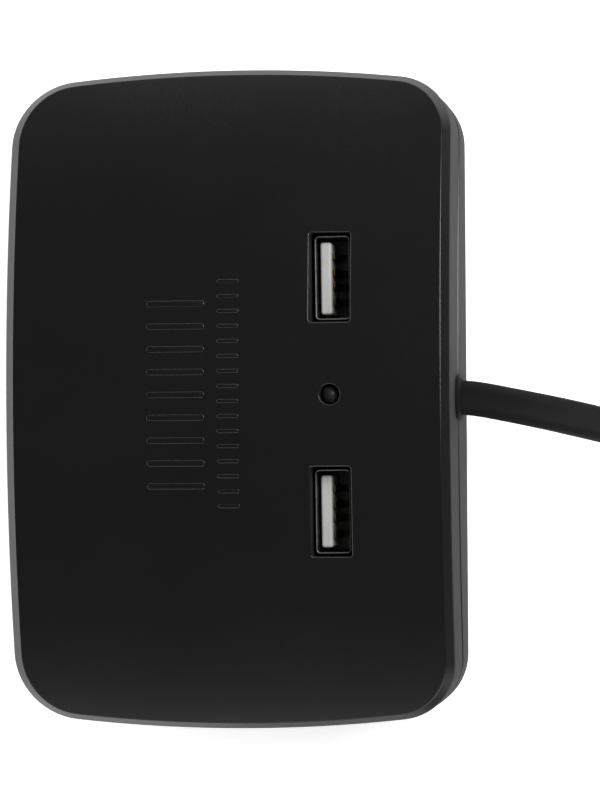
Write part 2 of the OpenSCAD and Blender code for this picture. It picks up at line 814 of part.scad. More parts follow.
module plug_body() {
    color(plastic_black) at_plug() difference() {
        union() {
            translate([0, 0, grip_start]) cylinder(r1 = plug_grip_radius - 3, r2 = plug_grip_radius, h = 6);
            translate([0, 0, grip_start + 6]) cylinder(r = plug_grip_radius, h = plug_grip_length - 8);
            translate([0, 0, barrel_start - 2]) cylinder(r1 = plug_grip_radius, r2 = plug_radius, h = 2);
            translate([0, 0, barrel_start]) cylinder(r = plug_radius, h = plug_barrel_length);
        }
        translate([0, 0, terminal_start]) cylinder(r = fuse_bore, h = nose_end);
        translate([0, 0, nose_start - nose_thread_length - 0.5])
            cylinder(r = nose_thread_radius + thread_gap, h = nose_thread_length + beyond);
        side_pocket(1);
        side_pocket(-1);
    }
}

module plug_boot() {
    color(rubber_black) at_plug() cylinder(r1 = lead_width / 2 + 1.3, r2 = plug_grip_radius - 3.4, h = plug_boot_length);
}

module plug_nose_cap() {
    color(plastic_black) at_plug() difference() {
        union() {
            translate([0, 0, nose_start + slip]) cylinder(r = nose_radius, h = 3 - slip);
            translate([0, 0, nose_start + 3]) cylinder(r1 = nose_radius, r2 = nose_radius - 3, h = nose_length - 3);
            translate([0, 0, nose_start - nose_thread_length]) cylinder(r = nose_thread_radius, h = nose_thread_length + 1);
        }
        translate([0, 0, nose_start - nose_thread_length - beyond])
            cylinder(r = nose_bore, h = tip_shoulder + slip - nose_start + nose_thread_length + beyond);
        translate([0, 0, nose_start]) cylinder(r = tip_radius + tip_gap, h = nose_length + beyond);
    }
}

module plug_tip() {
    color(nickel) at_plug() {
        translate([0, 0, fuse_end]) cylinder(r = tip_flange_radius, h = tip_flange);
        translate([0, 0, fuse_end]) cylinder(r = tip_radius, h = nose_end + tip_proud - tip_radius / 2 - fuse_end);
        translate([0, 0, nose_end + tip_proud - tip_radius / 2])
            cylinder(r1 = tip_radius, r2 = tip_radius / 2, h = tip_radius / 2);
    }
}

module plug_fuse() {
    color([0.8, 0.85, 0.86]) at_plug() {
        translate([0, 0, fuse_start]) cylinder(r = fuse_radius, h = 6);
        translate([0, 0, fuse_start + 6]) cylinder(r = fuse_radius - 0.3, h = fuse_length - 12);
        translate([0, 0, fuse_end - 6]) cylinder(r = fuse_radius, h = 6);
    }
}

module plug_tip_spring() {
    steps = 10;
    rise = spring_length - 2 * spring_wire - 2 * slip;
    route = [for (k = [0:steps * spring_turns]) let (a = 360 * k / steps)
        [spring_radius * cos(a), spring_radius * sin(a), rise * k / (steps * spring_turns)]];
    color(nickel) at_plug() translate([0, 0, terminal_start + terminal_thickness + spring_wire + slip])
        sweep(route, round_section(spring_wire));
}

module plug_terminal() {
    color(brass) at_plug() translate([0, 0, terminal_start]) cylinder(r = fuse_bore - slip, h = terminal_thickness);
}

module plug_side_contact(s) {
    middle = side_start + side_length / 2;
    crown = plug_radius + side_proud;
    color(nickel) at_plug() intersection() {
        translate([0, s * (crown - bow_radius), middle]) rotate([0, 90, 0]) difference() {
            cylinder(r = bow_radius, h = side_width, center = true, $fn = 120);
            cylinder(r = bow_radius - side_sheet, h = side_width + beyond, center = true, $fn = 120);
        }
        translate([-side_width, s > 0 ? 0 : -crown - beyond, side_start])
            cube([2 * side_width, crown + beyond, side_length]);
    }
}

front_cover();
rear_case();
indicator_led();
usb_shell(0);  // usb_shell_1
usb_shell(1);  // usb_shell_2
usb_tongue(0);  // usb_tongue_1
usb_tongue(1);  // usb_tongue_2
usb_contacts(0);  // usb_contacts_1
usb_contacts(1);  // usb_contacts_2
circuit_board();
inductor_core();
inductor_winding();
capacitor(capacitor_places[0]);  // capacitor_1
capacitor(capacitor_places[1]);  // capacitor_2
regulator_chip();
diode();
chip_parts();
socket_sleeve(0);  // socket_sleeve_1
socket_sleeve(1);  // socket_sleeve_2
socket_sleeve(2);  // socket_sleeve_3
socket_can(0);  // socket_can_1
socket_can(1);  // socket_can_2
socket_can(2);  // socket_can_3
socket_insulator(0);  // socket_insulator_1
socket_insulator(1);  // socket_insulator_2
socket_insulator(2);  // socket_insulator_3
centre_contact(0);  // centre_contact_1
centre_contact(1);  // centre_contact_2
centre_contact(2);  // centre_contact_3
contact_nuts();
positive_bus();
negative_bus();
bus_wire_positive();
bus_wire_negative();
lead_wire_positive();
lead_wire_negative();
case_screws();
board_screws();
cord_clamp();
cord_lead();
cord_coil();
cord_tail();
cord_tie();
plug_body();
plug_boot();
plug_nose_cap();
plug_tip();
plug_fuse();
plug_tip_spring();
plug_terminal();
plug_side_contact(1);  // plug_side_contact_1
plug_side_contact(-1);  // plug_side_contact_2
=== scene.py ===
"""Car socket splitter: an arched housing with three lighter sockets, two USB ports, a light and a flat lead.

Every shape is worked out in millimetres and turned into metres when its piece is finished.
"""

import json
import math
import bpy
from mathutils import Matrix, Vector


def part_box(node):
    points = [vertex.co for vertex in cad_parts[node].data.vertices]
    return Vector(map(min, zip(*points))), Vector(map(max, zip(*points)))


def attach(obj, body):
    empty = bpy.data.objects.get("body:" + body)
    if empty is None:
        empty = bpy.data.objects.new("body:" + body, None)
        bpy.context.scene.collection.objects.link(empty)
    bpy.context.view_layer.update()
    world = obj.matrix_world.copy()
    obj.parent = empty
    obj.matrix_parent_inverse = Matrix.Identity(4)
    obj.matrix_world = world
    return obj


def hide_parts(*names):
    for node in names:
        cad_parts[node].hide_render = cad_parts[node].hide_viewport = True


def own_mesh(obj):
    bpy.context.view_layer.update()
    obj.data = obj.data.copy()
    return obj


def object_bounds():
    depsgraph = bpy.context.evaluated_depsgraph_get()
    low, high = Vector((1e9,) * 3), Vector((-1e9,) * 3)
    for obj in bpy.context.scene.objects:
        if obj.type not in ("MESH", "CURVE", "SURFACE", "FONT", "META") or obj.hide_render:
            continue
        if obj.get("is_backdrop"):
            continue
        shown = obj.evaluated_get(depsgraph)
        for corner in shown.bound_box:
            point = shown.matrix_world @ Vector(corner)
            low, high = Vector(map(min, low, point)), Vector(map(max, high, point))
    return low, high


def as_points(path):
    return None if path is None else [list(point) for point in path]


bl_info = {
    "name": "Car Socket Splitter",
    "version": (1, 0, 0),
    "blender": (4, 5, 0),
    "location": "View3D > Sidebar > Splitter",
    "description": "Builds a car socket splitter around its packed frame",
    "category": "Add Mesh",
}

from types import SimpleNamespace

import bmesh
import bpy
from bpy.props import FloatProperty, FloatVectorProperty, IntProperty, PointerProperty
from mathutils import Matrix, Vector

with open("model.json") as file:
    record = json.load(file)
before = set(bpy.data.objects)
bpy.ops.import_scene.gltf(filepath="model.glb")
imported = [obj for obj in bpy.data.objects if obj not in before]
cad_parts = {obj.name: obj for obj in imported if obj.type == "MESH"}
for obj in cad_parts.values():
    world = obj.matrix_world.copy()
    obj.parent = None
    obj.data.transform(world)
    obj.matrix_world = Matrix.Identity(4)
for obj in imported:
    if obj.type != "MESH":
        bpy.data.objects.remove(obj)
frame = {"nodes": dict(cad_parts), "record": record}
CAD_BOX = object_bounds()

MM = 0.001
NODES = frame["nodes"]
CASE_LOW, CASE_HIGH = (Vector(p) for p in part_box("rear_case"))
COVER_HIGH = Vector(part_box("front_cover")[1])
SHELL_LOW, SHELL_HIGH = (Vector(p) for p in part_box("usb_shell_1"))
SHELL_2_LOW, SHELL_2_HIGH = (Vector(p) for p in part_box("usb_shell_2"))
LIGHT_LOW, LIGHT_HIGH = (Vector(p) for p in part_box("indicator_led"))
CAN_LOW, CAN_HIGH = (Vector(p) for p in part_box("socket_can_2"))
BODY_LOW, BODY_HIGH = (Vector(p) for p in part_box("plug_body"))
CAP_LOW, CAP_HIGH = (Vector(p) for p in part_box("plug_nose_cap"))
TIP_LOW, TIP_HIGH = (Vector(p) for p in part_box("plug_tip"))
BOOT_HIGH = Vector(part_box("plug_boot")[1])
COIL_HIGH = Vector(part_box("cord_coil")[1])
SPRING_LOW, SPRING_HIGH = (Vector(p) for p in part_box("plug_tip_spring"))


# ---- sizes and colours that a user may change ----


def size(name, description, metres):
    """A length in metres, with its default taken from the frame or written in millimetres."""
    return FloatProperty(name=name, description=description, default=metres, unit="LENGTH", precision=5)


def colour(name, description, value):
    return FloatVectorProperty(name=name, description=description, default=value, size=3, min=0, max=1,
                               subtype="COLOR")


def share(name, description, value, high=1.0):
    return FloatProperty(name=name, description=description, default=value, min=0, max=high)


class HousingSizes(bpy.types.PropertyGroup):
    """Sizes of the two shells."""

    width: size("Width", "Width from the sockets to the lead", CASE_HIGH.x - CASE_LOW.x)
    length: size("Length", "Length along the sockets", CASE_HIGH.y - CASE_LOW.y)
    height: size("Height", "Height of the face at the middle", COVER_HIGH.z)
    arch: size("Arch radius", "Radius of the arched face", 154 * MM)
    end_bow: size("End radius", "Radius of the bowed short sides", 230 * MM)
    socket_corner: size("Socket corner", "Corner radius at the socket side", 10.6 * MM)
    lead_corner: size("Lead corner", "Corner radius at the lead side", 9.2 * MM)
    wall: size("Wall", "Thickness of the walls", 2 * MM)
    face_chamfer: size("Face chamfer", "Width of the chamfer around the face", 1.5 * MM)
    back_fillet: size("Back rounding", "Rounding around the back", 2.9 * MM)
    seam: size("Seam height", "Height of the seam at the middle", 18.5 * MM)
    seam_gap: size("Seam gap", "Groove between the shells", 0.3 * MM)
    end_chamfer: share("End chamfer", "Width of the end chamfers, as a share of the side ones", 0.66, 1)
    seam_edge: size("Seam edge", "Chamfer along both edges of the seam", 0.14 * MM)
    seam_step: size("Seam step", "Distance that the cover's sides stand behind the case's", 0.12 * MM)


class SocketSizes(bpy.types.PropertyGroup):
    """Sizes of the lighter sockets."""

    bore: size("Bore radius", "Inside radius of a can", 10.7 * MM)
    pitch: size("Pitch", "Distance between neighbouring sockets", 27.5 * MM)
    height: size("Axis height", "Height of the sockets' axes", 16.5 * MM)
    sheet: size("Sheet", "Thickness of a can", 0.45 * MM)
    lip: size("Lip radius", "Radius of a can's rolled lip", (CAN_HIGH.z - CAN_LOW.z) / 2)
    hole_gap: size("Hole gap", "Gap between a lip and the housing", 0.1 * MM)
    depth: size("Can length", "Length of a can", 33.2 * MM)


class PortSizes(bpy.types.PropertyGroup):
    """Sizes of the USB ports and the light."""

    recess: size("Recess", "Depth of a port's rim below the face", 3 * MM)
    clearance: size("Clearance", "Gap between a shell and its window", 0.35 * MM)
    sheet: size("Sheet", "Thickness of a shell", 0.3 * MM)
    corner: size("Corner", "Outer corner radius of a shell", 0.75 * MM)
    play: size("Play", "Sideways play of a shell in its window", 0.17 * MM)
    tongue: size("Tongue", "Thickness of a tongue", 1.74 * MM)
    tongue_gap: size("Tongue gap", "Gap between a tongue and its shell", 0.47 * MM)
    tongue_width: size("Tongue width", "Width of a tongue", 11.1 * MM)
    light: size("Light radius", "Radius of the light", 1.45 * MM)


class CordSizes(bpy.types.PropertyGroup):
    """Sizes of the flat lead."""

    width: size("Width", "Width of the flat lead", 5.4 * MM)
    thickness: size("Thickness", "Thickness of the flat lead", 3.2 * MM)
    edge: size("Edge radius", "Rounding of the lead's edges", 1.15 * MM)
    exit_height: size("Exit height", "Height of the lead's middle line at the housing", 18.5 * MM)
    length: size("Length", "Length from the housing to the plug", 900 * MM)
    ring: size("Ring spacing", "Distance between the rings of the lead's mesh", 1.5 * MM)
    coil_radius: size("Coil radius", "Radius of the outermost turn's middle line", 31.8 * MM)
    coil_pitch: size("Coil pitch", "Distance between neighbouring turns", 3.2 * MM)
    coil_turns: share("Coil turns", "Turns in each of the coil's two layers", 2.146, 6)
    tie_width: size("Tie width", "Width of the tie", 6 * MM)
    tie_thickness: size("Tie thickness", "Thickness of the tie", 0.5 * MM)


class PlugSizes(bpy.types.PropertyGroup):
    """Sizes of the lighter plug, along its axis from the end of its boot."""

    grip: size("Grip radius", "Radius over the grip's ribs", (BODY_HIGH.y - BODY_LOW.y) / 2)
    barrel: size("Barrel radius", "Radius of the barrel", 10.4 * MM)
    cap: size("Cap radius", "Radius of the nose cap", (CAP_HIGH.y - CAP_LOW.y) / 2)
    grip_start: size("Grip start", "Distance of the grip from the boot's end", BOOT_HIGH.x - BODY_HIGH.x)
    barrel_start: size("Barrel start", "Distance of the barrel from the boot's end", 50 * MM)
    nose_start: size("Nose start", "Distance of the nose cap from the boot's end", BOOT_HIGH.x - BODY_LOW.x)
    nose_end: size("Nose end", "Distance of the cap's front from the boot's end", BOOT_HIGH.x - CAP_LOW.x)
    tip_end: size("Tip end", "Distance of the tip's point from the boot's end", BOOT_HIGH.x - TIP_LOW.x)
    grip_ribs: IntProperty(name="Grip ribs", description="Ribs around the grip", default=36, min=6)
    cap_ribs: IntProperty(name="Cap ribs", description="Ribs around the nose cap", default=48, min=6)


class FinishColours(bpy.types.PropertyGroup):
    """Colours of the plastics and metals."""

    housing: colour("Housing", "Matte black of both shells", (0.0062, 0.0062, 0.0065))
    cord: colour("Lead", "Black of the lead's jacket", (0.005, 0.005, 0.0053))
    plug: colour("Plug", "Black of the plug", (0.012, 0.012, 0.0125))
    tongue: colour("Tongue", "White of the USB tongues", (0.62, 0.62, 0.605))
    nickel: colour("Nickel", "Plated sheet metal", (0.62, 0.61, 0.6))
    brass: colour("Brass", "Contacts and bus strips", (0.68, 0.48, 0.2))
    copper: colour("Copper", "Enamelled wire", (0.56, 0.22, 0.09))
    board: colour("Board", "Solder mask of the circuit board", (0.012, 0.11, 0.045))


class StudioSettings(bpy.types.PropertyGroup):
    """Camera, floor and lights."""

    lens: FloatProperty(name="Lens", description="Focal length in millimetres", default=148.95, min=20)
    floor: size("Floor", "Side of the square floor", 6.0)
    floor_glow: share("Floor glow", "Light that the pale floor gives off", 0.58, 10)
    key_light: share("Key light", "Power of the high light on the lead side", 6, 100)
    left_light: share("Left light", "Power of the low light beyond the sockets", 5.8, 100)
    far_light: share("Far light", "Power of the tall light beyond the far end", 6.2, 100)
    near_light: share("Near light", "Power of the tall light before the near end", 7, 100)
    ambient: share("Ambient", "Brightness of the room", 0.025, 5)


class SplitterSettings(bpy.types.PropertyGroup):
    """All the settings, by piece."""

    housing: PointerProperty(type=HousingSizes)
    sockets: PointerProperty(type=SocketSizes)
    ports: PointerProperty(type=PortSizes)
    cord: PointerProperty(type=CordSizes)
    plug: PointerProperty(type=PlugSizes)
    colours: PointerProperty(type=FinishColours)
    studio: PointerProperty(type=StudioSettings)


def settings():
    return bpy.context.scene.splitter


def in_mm(group):
    """A property group's lengths in millimetres; counts, turns and shares stay as they are."""
    plain = {"grip_ribs", "cap_ribs", "coil_turns", "end_chamfer"}
    return SimpleNamespace(**{key: getattr(group, key) * (1 if key in plain else 1 / MM)
                              for key in group.__annotations__})


# ---- shader maths ----


class Flow:
    """A socket in a shader's node tree; arithmetic on it adds Math nodes."""

    def __init__(self, finish, socket):
        self.finish, self.socket = finish, socket

    def math(self, operation, *others):
        return self.between(operation, self, *others)

    def between(self, operation, *values):
        node = self.finish.node("ShaderNodeMath", {"operation": operation}, dict(enumerate(values)))
        return Flow(self.finish, node.outputs[0])

    def __add__(self, other):
        return self.math("ADD", other)

    __radd__ = __add__

    def __sub__(self, other):
        return self.math("SUBTRACT", other)

    def __rsub__(self, other):
        return self.between("SUBTRACT", other, self)

    def __mul__(self, other):
        return self.math("MULTIPLY", other)

    def sine(self):
        return self.math("SINE")

    def fraction(self):
        return self.math("FRACT")

    def smooth(self, low, high):
        """0 below low, 1 above high, and a smooth step between them."""
        node = self.finish.node("ShaderNodeMapRange", {"interpolation_type": "SMOOTHSTEP"},
                                {"Value": self, "From Min": low, "From Max": high})
        return Flow(self.finish, node.outputs["Result"])


# Each material under its slot's name.
FINISHES = {}


class Finish:
    """A procedural material with one Principled shader, kept under its name."""

    def __init__(self, name, **constants):
        self.material = FINISHES[name] = bpy.data.materials.new(name)
        self.material.use_nodes = True
        self.tree = self.material.node_tree
        self.tree.nodes.clear()
        self.shader = self.node("ShaderNodeBsdfPrincipled", {}, constants)
        self.node("ShaderNodeOutputMaterial", {}, {"Surface": self.shader.outputs[0]})

    def node(self, kind, choices=None, inputs=None):
        """Adds a node: its choices are set first, then its sockets' values or links."""
        node = self.tree.nodes.new(kind)
        for key, value in (choices or {}).items():
            setattr(node, key, value)
        for key, value in (inputs or {}).items():
            self.feed(node.inputs[key], value)
        return node

    def feed(self, socket, value):
        if isinstance(value, Flow):
            value = value.socket
        if isinstance(value, bpy.types.NodeSocket):
            self.tree.links.new(value, socket)
        elif socket.type == "RGBA" and len(value) == 3:
            socket.default_value = (*value, 1)
        else:
            socket.default_value = value

    def set(self, **inputs):
        """Feeds the shader; a name's underscores stand for spaces."""
        for key, value in inputs.items():
            self.feed(self.shader.inputs[key.replace("_", " ")], value)
        return self.material

    def place(self, stretch=(1, 1, 1), along="Object"):
        """Object coordinates, or the piece's own UV map, stretched along each axis."""
        at = self.node("ShaderNodeTexCoord").outputs[along]
        if tuple(stretch) == (1, 1, 1):
            return at
        return self.node("ShaderNodeMapping", {}, {"Vector": at, "Scale": stretch}).outputs[0]

    def axes(self, along="Object"):
        parts = self.node("ShaderNodeSeparateXYZ", {}, {0: self.place(along=along)})
        return [Flow(self, s) for s in parts.outputs]

    def upright(self):
        """1 on upright walls, 0 on slopes and level faces."""
        parts = self.node("ShaderNodeSeparateXYZ", {}, {0: self.place(along="Normal")})
        return 1 - Flow(self, parts.outputs[2]).math("ABSOLUTE").smooth(0.25, 0.6)

    def noise(self, scale, detail=2.0, stretch=(1, 1, 1), along="Object"):
        node = self.node("ShaderNodeTexNoise", {}, {
            "Vector": self.place(stretch, along), "Scale": scale, "Detail": detail})
        return Flow(self, node.outputs[0])

    def cells(self, scale, stretch=(1, 1, 1)):
        node = self.node("ShaderNodeTexVoronoi", {}, {"Vector": self.place(stretch), "Scale": scale})
        return Flow(self, node.outputs["Distance"])

    def mix(self, factor, first, second):
        """A colour between two colours."""
        node = self.node("ShaderNodeMix", {"data_type": "RGBA"}, {0: factor, 6: first, 7: second})
        return node.outputs[2]

    def bump(self, height, depth):
        """A normal from a height between 0 and 1 that stands for depth millimetres."""
        inputs = {"Height": height, "Distance": depth * MM, "Strength": 1.0}
        return self.node("ShaderNodeBump", {}, inputs).outputs[0]


def tint(value, factor):
    return tuple(min(1.0, c * factor) for c in value)


def moulded(name, base, rough, grain=0.35, depth=0.02, cloud=0.12, upright=0.0, **constants):
    """Moulded plastic or rubber: a fine grain, its size in millimetres, over a faint cloud.

    Upright walls are duller than level ones by upright.
    """
    finish = Finish(name, **constants)
    fine = finish.noise(1 / (grain * MM), 2)
    soft = finish.noise(90, 3)
    handled = finish.noise(35, 4)
    return finish.set(
        Base_Color=finish.mix(soft, tint(base, 1 - cloud), tint(base, 1 + cloud)),
        Roughness=(rough - 0.05 + fine * 0.06 + handled * 0.06
                   + (finish.upright() * upright if upright else 0.0)),
        Normal=finish.bump(fine, depth))


def plated(name, base, rough, stretch=(1, 1, 1), scale=900, depth=0.004):
    """Plated or drawn metal, with faint lines where it is stretched, and small dull marks."""
    finish = Finish(name)
    lines = finish.noise(scale, 3, stretch)
    marks = finish.noise(240, 5)
    return finish.set(
        Metallic=1.0,
        Base_Color=finish.mix(marks.smooth(0.35, 0.75), tint(base, 0.86), tint(base, 1.06)),
        Roughness=rough - 0.05 + lines * 0.12 + marks.smooth(0.55, 0.8) * 0.12,
        Normal=finish.bump(lines, depth))


def soldered_board(name, base, copper):
    """Green solder mask over copper tracks, with pads."""
    finish = Finish(name)
    y = finish.axes()[1]
    bend = finish.noise(160, 1)
    across = ((y * 520 + bend * 0.9).fraction() - 0.5).math("ABSOLUTE")
    tracks = (1 - across.smooth(0.12, 0.17)) * finish.cells(190).smooth(0.25, 0.4)
    pads = 1 - finish.cells(330).smooth(0.1, 0.14)
    mask = finish.mix(tracks, base, tint(base, 1.9))
    return finish.set(
        Base_Color=finish.mix(pads * 0.9, mask, copper), Metallic=pads * 0.9,
        Roughness=0.32 + finish.noise(700) * 0.1, Normal=finish.bump(tracks * 0.6 + pads * 0.4, 0.03))


def wound_wire(name, base):
    """Enamelled wire in level turns around Z, with painted shade darkening the grooves between turns."""
    finish = Finish(name)
    z = finish.axes()[2]
    turns = (z * (2 * math.pi / (0.5 * MM))).sine() * 0.5 + 0.5
    # The colour falls to a third where the turns' bump is low: painted shade in the grooves between turns.
    return finish.set(Base_Color=finish.mix(turns, tint(base, 0.35), base), Metallic=0.85,
                      Roughness=0.3 + finish.noise(500) * 0.12, Normal=finish.bump(turns, 0.12))


def can_sleeve(name, high):
    """A capacitor: a dark sleeve with a bare metal top."""
    finish = Finish(name)
    z = finish.axes()[2]
    top = z.smooth(high - 0.5 * MM, high - 0.35 * MM)
    band = finish.noise(400, 3)
    return finish.set(
        Base_Color=finish.mix(top, (0.012, 0.016, 0.04), (0.62, 0.62, 0.63)), Metallic=top,
        Roughness=0.26 + band * 0.12, Normal=finish.bump(band, 0.02))


def pressed_fibre(name, base):
    """Pressed fibre board in thin brown layers."""
    finish = Finish(name)
    fibre = finish.noise(1500, 5, (0.2, 1, 1))
    patches = finish.noise(220, 3)
    return finish.set(Base_Color=finish.mix(fibre * 0.6 + patches * 0.4, tint(base, 0.55), tint(base, 1.3)),
                      Roughness=0.55 + fibre * 0.15, Normal=finish.bump(fibre, 0.03))


def jacket(name, base):
    """The lead's extruded jacket: faint lines along it, scuffs, and a soft gloss."""
    finish = Finish(name, **{"Specular IOR Level": 0.15})
    lines = finish.noise(1, 3, (70, 2.5, 1), "UV")
    scuff = finish.noise(240, 5)
    return finish.set(
        Base_Color=finish.mix(scuff.smooth(0.45, 0.8), base, tint(base, 1.7)),
        Roughness=0.6 + lines * 0.08 + scuff.smooth(0.4, 0.8) * 0.1,
        Normal=finish.bump(lines * 0.7 + finish.noise(2600) * 0.3, 0.025))


def woven_tie(name, base):
    """A woven strap: threads over and under, with a nap, and painted shade darkening the weave's hollows."""
    finish = Finish(name, **{"Sheen Weight": 0.4, "Sheen Roughness": 0.5})
    u, v, _ = finish.axes("UV")
    warp = (u * (2 * math.pi * 14)).sine()
    weft = (v * (2 * math.pi / 0.45)).sine()
    weave_and_shade = (warp * weft) * 0.5 + 0.5
    nap = finish.noise(5200, 4)
    # The colour runs from dark in the weave's dips to light on its crossings: painted shade in the hollows,
    # with the nap's random tone.
    return finish.set(Base_Color=finish.mix(weave_and_shade * 0.7 + nap * 0.3, tint(base, 0.6), tint(base, 2.1)),
                      Roughness=0.85, Normal=finish.bump(weave_and_shade * 0.7 + nap * 0.3, 0.12))


def fuse_tube(name, low, high):
    """A glass tube with metal caps at both ends."""
    finish = Finish(name, **{"Transmission Weight": 0.95, "IOR": 1.5})
    x = finish.axes()[0]
    caps = (1 - x.smooth(low + 5.9 * MM, low + 6 * MM)) + x.smooth(high - 6 * MM, high - 5.9 * MM)
    worn = finish.noise(420, 4)
    return finish.set(Base_Color=finish.mix(caps, (0.93, 0.96, 0.96), (0.66, 0.66, 0.65)), Metallic=caps,
                      Roughness=0.04 + caps * 0.2 + worn * 0.05)


def smoked_lens(name):
    """A dark clear dome over a light that is off."""
    finish = Finish(name, **{"Specular IOR Level": 0.12})
    cloud = finish.noise(900, 3)
    return finish.set(Base_Color=finish.mix(cloud, (0.02, 0.019, 0.021), (0.034, 0.032, 0.036)),
                      Roughness=0.3 + cloud * 0.06, Normal=finish.bump(cloud, 0.004))


def make_finishes():
    """One material for each of the record's slots."""
    c = settings().colours
    cap_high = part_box("capacitor_1")[1]
    fuse_low, fuse_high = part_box("plug_fuse")
    moulded("housing", c.housing, 0.245, grain=0.42, depth=0.005, upright=0.6, **{"Specular IOR Level": 0.4})
    moulded("port_plastic", c.tongue, 0.38, grain=0.6, depth=0.008, cloud=0.03)
    moulded("socket_plastic", tint(c.housing, 1.4), 0.5, grain=0.3, depth=0.02)
    moulded("clamp_rubber", c.cord, 0.75, grain=0.25, depth=0.01, **{"Specular IOR Level": 0.12})
    moulded("plug_plastic", c.plug, 0.3, grain=0.5, depth=0.012, **{"Coat Weight": 0.15})
    moulded("boot_rubber", tint(c.plug, 0.9), 0.5, grain=0.3, depth=0.03)
    moulded("ferrite", (0.035, 0.035, 0.038), 0.6, grain=0.2, depth=0.05)
    moulded("chip_plastic", (0.02, 0.02, 0.022), 0.5, grain=0.15, depth=0.02)
    moulded("chip_ceramic", (0.36, 0.27, 0.17), 0.45, grain=0.2, depth=0.02)
    moulded("wire_red", (0.42, 0.012, 0.01), 0.38, grain=0.5, depth=0.01)
    moulded("wire_black", (0.014, 0.014, 0.015), 0.38, grain=0.5, depth=0.01)
    # nickel_sheet is the plated nickel at a quarter of its brightness: painted shade of the USB shells and the
    # socket cans inside the housing.
    plated("nickel_sheet", tint(c.nickel, 0.25), 0.36, (1, 1, 0.08))
    # contact_metal is brass at a third of its brightness: painted shade of the contacts deep in the USB ports.
    plated("contact_metal", tint(c.brass, 0.35), 0.28, (1, 1, 0.1))
    plated("brass", c.brass, 0.27, (1, 0.1, 1))
    plated("screw_steel", tint(c.nickel, 0.85), 0.3, scale=1300)
    plated("contact_steel", c.nickel, 0.2, (0.08, 1, 1))
    plated("spring_steel", tint(c.nickel, 0.8), 0.25, (0.3, 1, 1))
    soldered_board("circuit_board", c.board, tint(c.copper, 1.2))
    wound_wire("copper_winding", c.copper)
    can_sleeve("capacitor_sleeve", cap_high[2])
    pressed_fibre("insulating_board", (0.2, 0.075, 0.025))
    jacket("cord_jacket", c.cord)
    woven_tie("tie_fabric", (0.012, 0.012, 0.013))
    fuse_tube("fuse_glass", fuse_low[0], fuse_high[0])
    smoked_lens("led_lens")


# ---- mesh helpers, in millimetres ----


def arc_corner(before, corner, after, radius, steps):
    """Points of the arc that rounds a corner of a flat outline."""
    a = (Vector(before) - Vector(corner)).normalized()
    b = (Vector(after) - Vector(corner)).normalized()
    half = math.acos(max(-1.0, min(1.0, a.dot(b)))) / 2
    if radius <= 0 or half > math.radians(89.5):
        return [tuple(corner)]
    reach = radius / math.tan(half)
    centre = Vector(corner) + (a + b).normalized() * (radius / math.sin(half))
    start = Vector(corner) + a * reach - centre
    end = Vector(corner) + b * reach - centre
    sweep = start.angle_signed(end)
    return [tuple(centre + Matrix.Rotation(-sweep * k / steps, 2) @ start) for k in range(steps + 1)]


def softened(points, steps=5, closed=True):
    """An outline whose corners are rounded: each point is (x, y) or (x, y, radius)."""
    flat = [Vector(p[:2]) for p in points]
    count, result = len(points), []
    for k, point in enumerate(points):
        if len(point) < 3 or (not closed and k in (0, count - 1)):
            result.append(tuple(flat[k]))
        else:
            result += arc_corner(flat[k - 1], flat[k], flat[(k + 1) % count], point[2], steps)
    return result


def rounded_box(width, depth, radius, steps=6):
    """A rectangle with rounded corners, centred on the origin."""
    x, y = width / 2, depth / 2
    return softened([(x, -y, radius), (x, y, radius), (-x, y, radius), (-x, -y, radius)], steps)


def circle(radius, steps, centre=(0, 0)):
    """Even points around a circle, anticlockwise from +X."""
    return [(centre[0] + radius * math.cos(a), centre[1] + radius * math.sin(a))
            for a in (2 * math.pi * k / steps for k in range(steps))]


def grown(outline, offset):
    """An anticlockwise outline moved outwards by offset."""
    result = []
    for k, point in enumerate(outline):
        a, b, c = Vector(outline[k - 1]), Vector(point), Vector(outline[(k + 1) % len(outline)])
        first, second = (b - a).normalized(), (c - b).normalized()
        normal = Vector((first.y + second.y, -first.x - second.x)).normalized()
        lean = max(0.5, normal.dot(Vector((first.y, -first.x))))
        result.append(tuple(b + normal * (offset / lean)))
    return result


def skin(rings, start="fan", end="fan", looped=False):
    """Faces over rings of equal length. Ends are closed by a fan, by strips across, or left open."""
    count = len(rings[0])
    verts = [tuple(p) for ring in rings for p in ring]
    faces = []
    pairs = len(rings) if looped else len(rings) - 1
    for j in range(pairs):
        a, b = j * count, ((j + 1) % len(rings)) * count
        faces += [(a + i, a + (i + 1) % count, b + (i + 1) % count, b + i) for i in range(count)]
    if not looped:
        for kind, ring in ((start, 0), (end, len(rings) - 1)):
            base = ring * count
            if kind == "fan":
                middle = sum((Vector(verts[base + i]) for i in range(count)), Vector()) / count
                verts.append(tuple(middle))
                faces += [(base + i, base + (i + 1) % count, len(verts) - 1) for i in range(count)]
            elif kind == "strips":
                half = count // 2
                for k in range(half // 2):
                    upper = (k, k + 1, half - k - 1, half - k)
                    lower = ((count - k) % count, count - k - 1, half + k + 1, half + k)
                    for strip in (upper, lower):
                        faces.append(tuple(base + i for i in dict.fromkeys(strip)))
    return verts, faces


def joined(*parts):
    """Several closed skins as one."""
    verts, faces = [], []
    for part_verts, part_faces in parts:
        base = len(verts)
        verts += part_verts
        faces += [tuple(base + i for i in face) for face in part_faces]
    return verts, faces


def raw_piece(name, part):
    """A mesh object in millimetres, with its doubles merged and its normals outwards."""
    mesh = bpy.data.meshes.new(name)
    mesh.from_pydata(part[0], [], part[1])
    piece = bpy.data.objects.new(name, mesh)
    bpy.context.scene.collection.objects.link(piece)
    tidy(piece)
    return piece


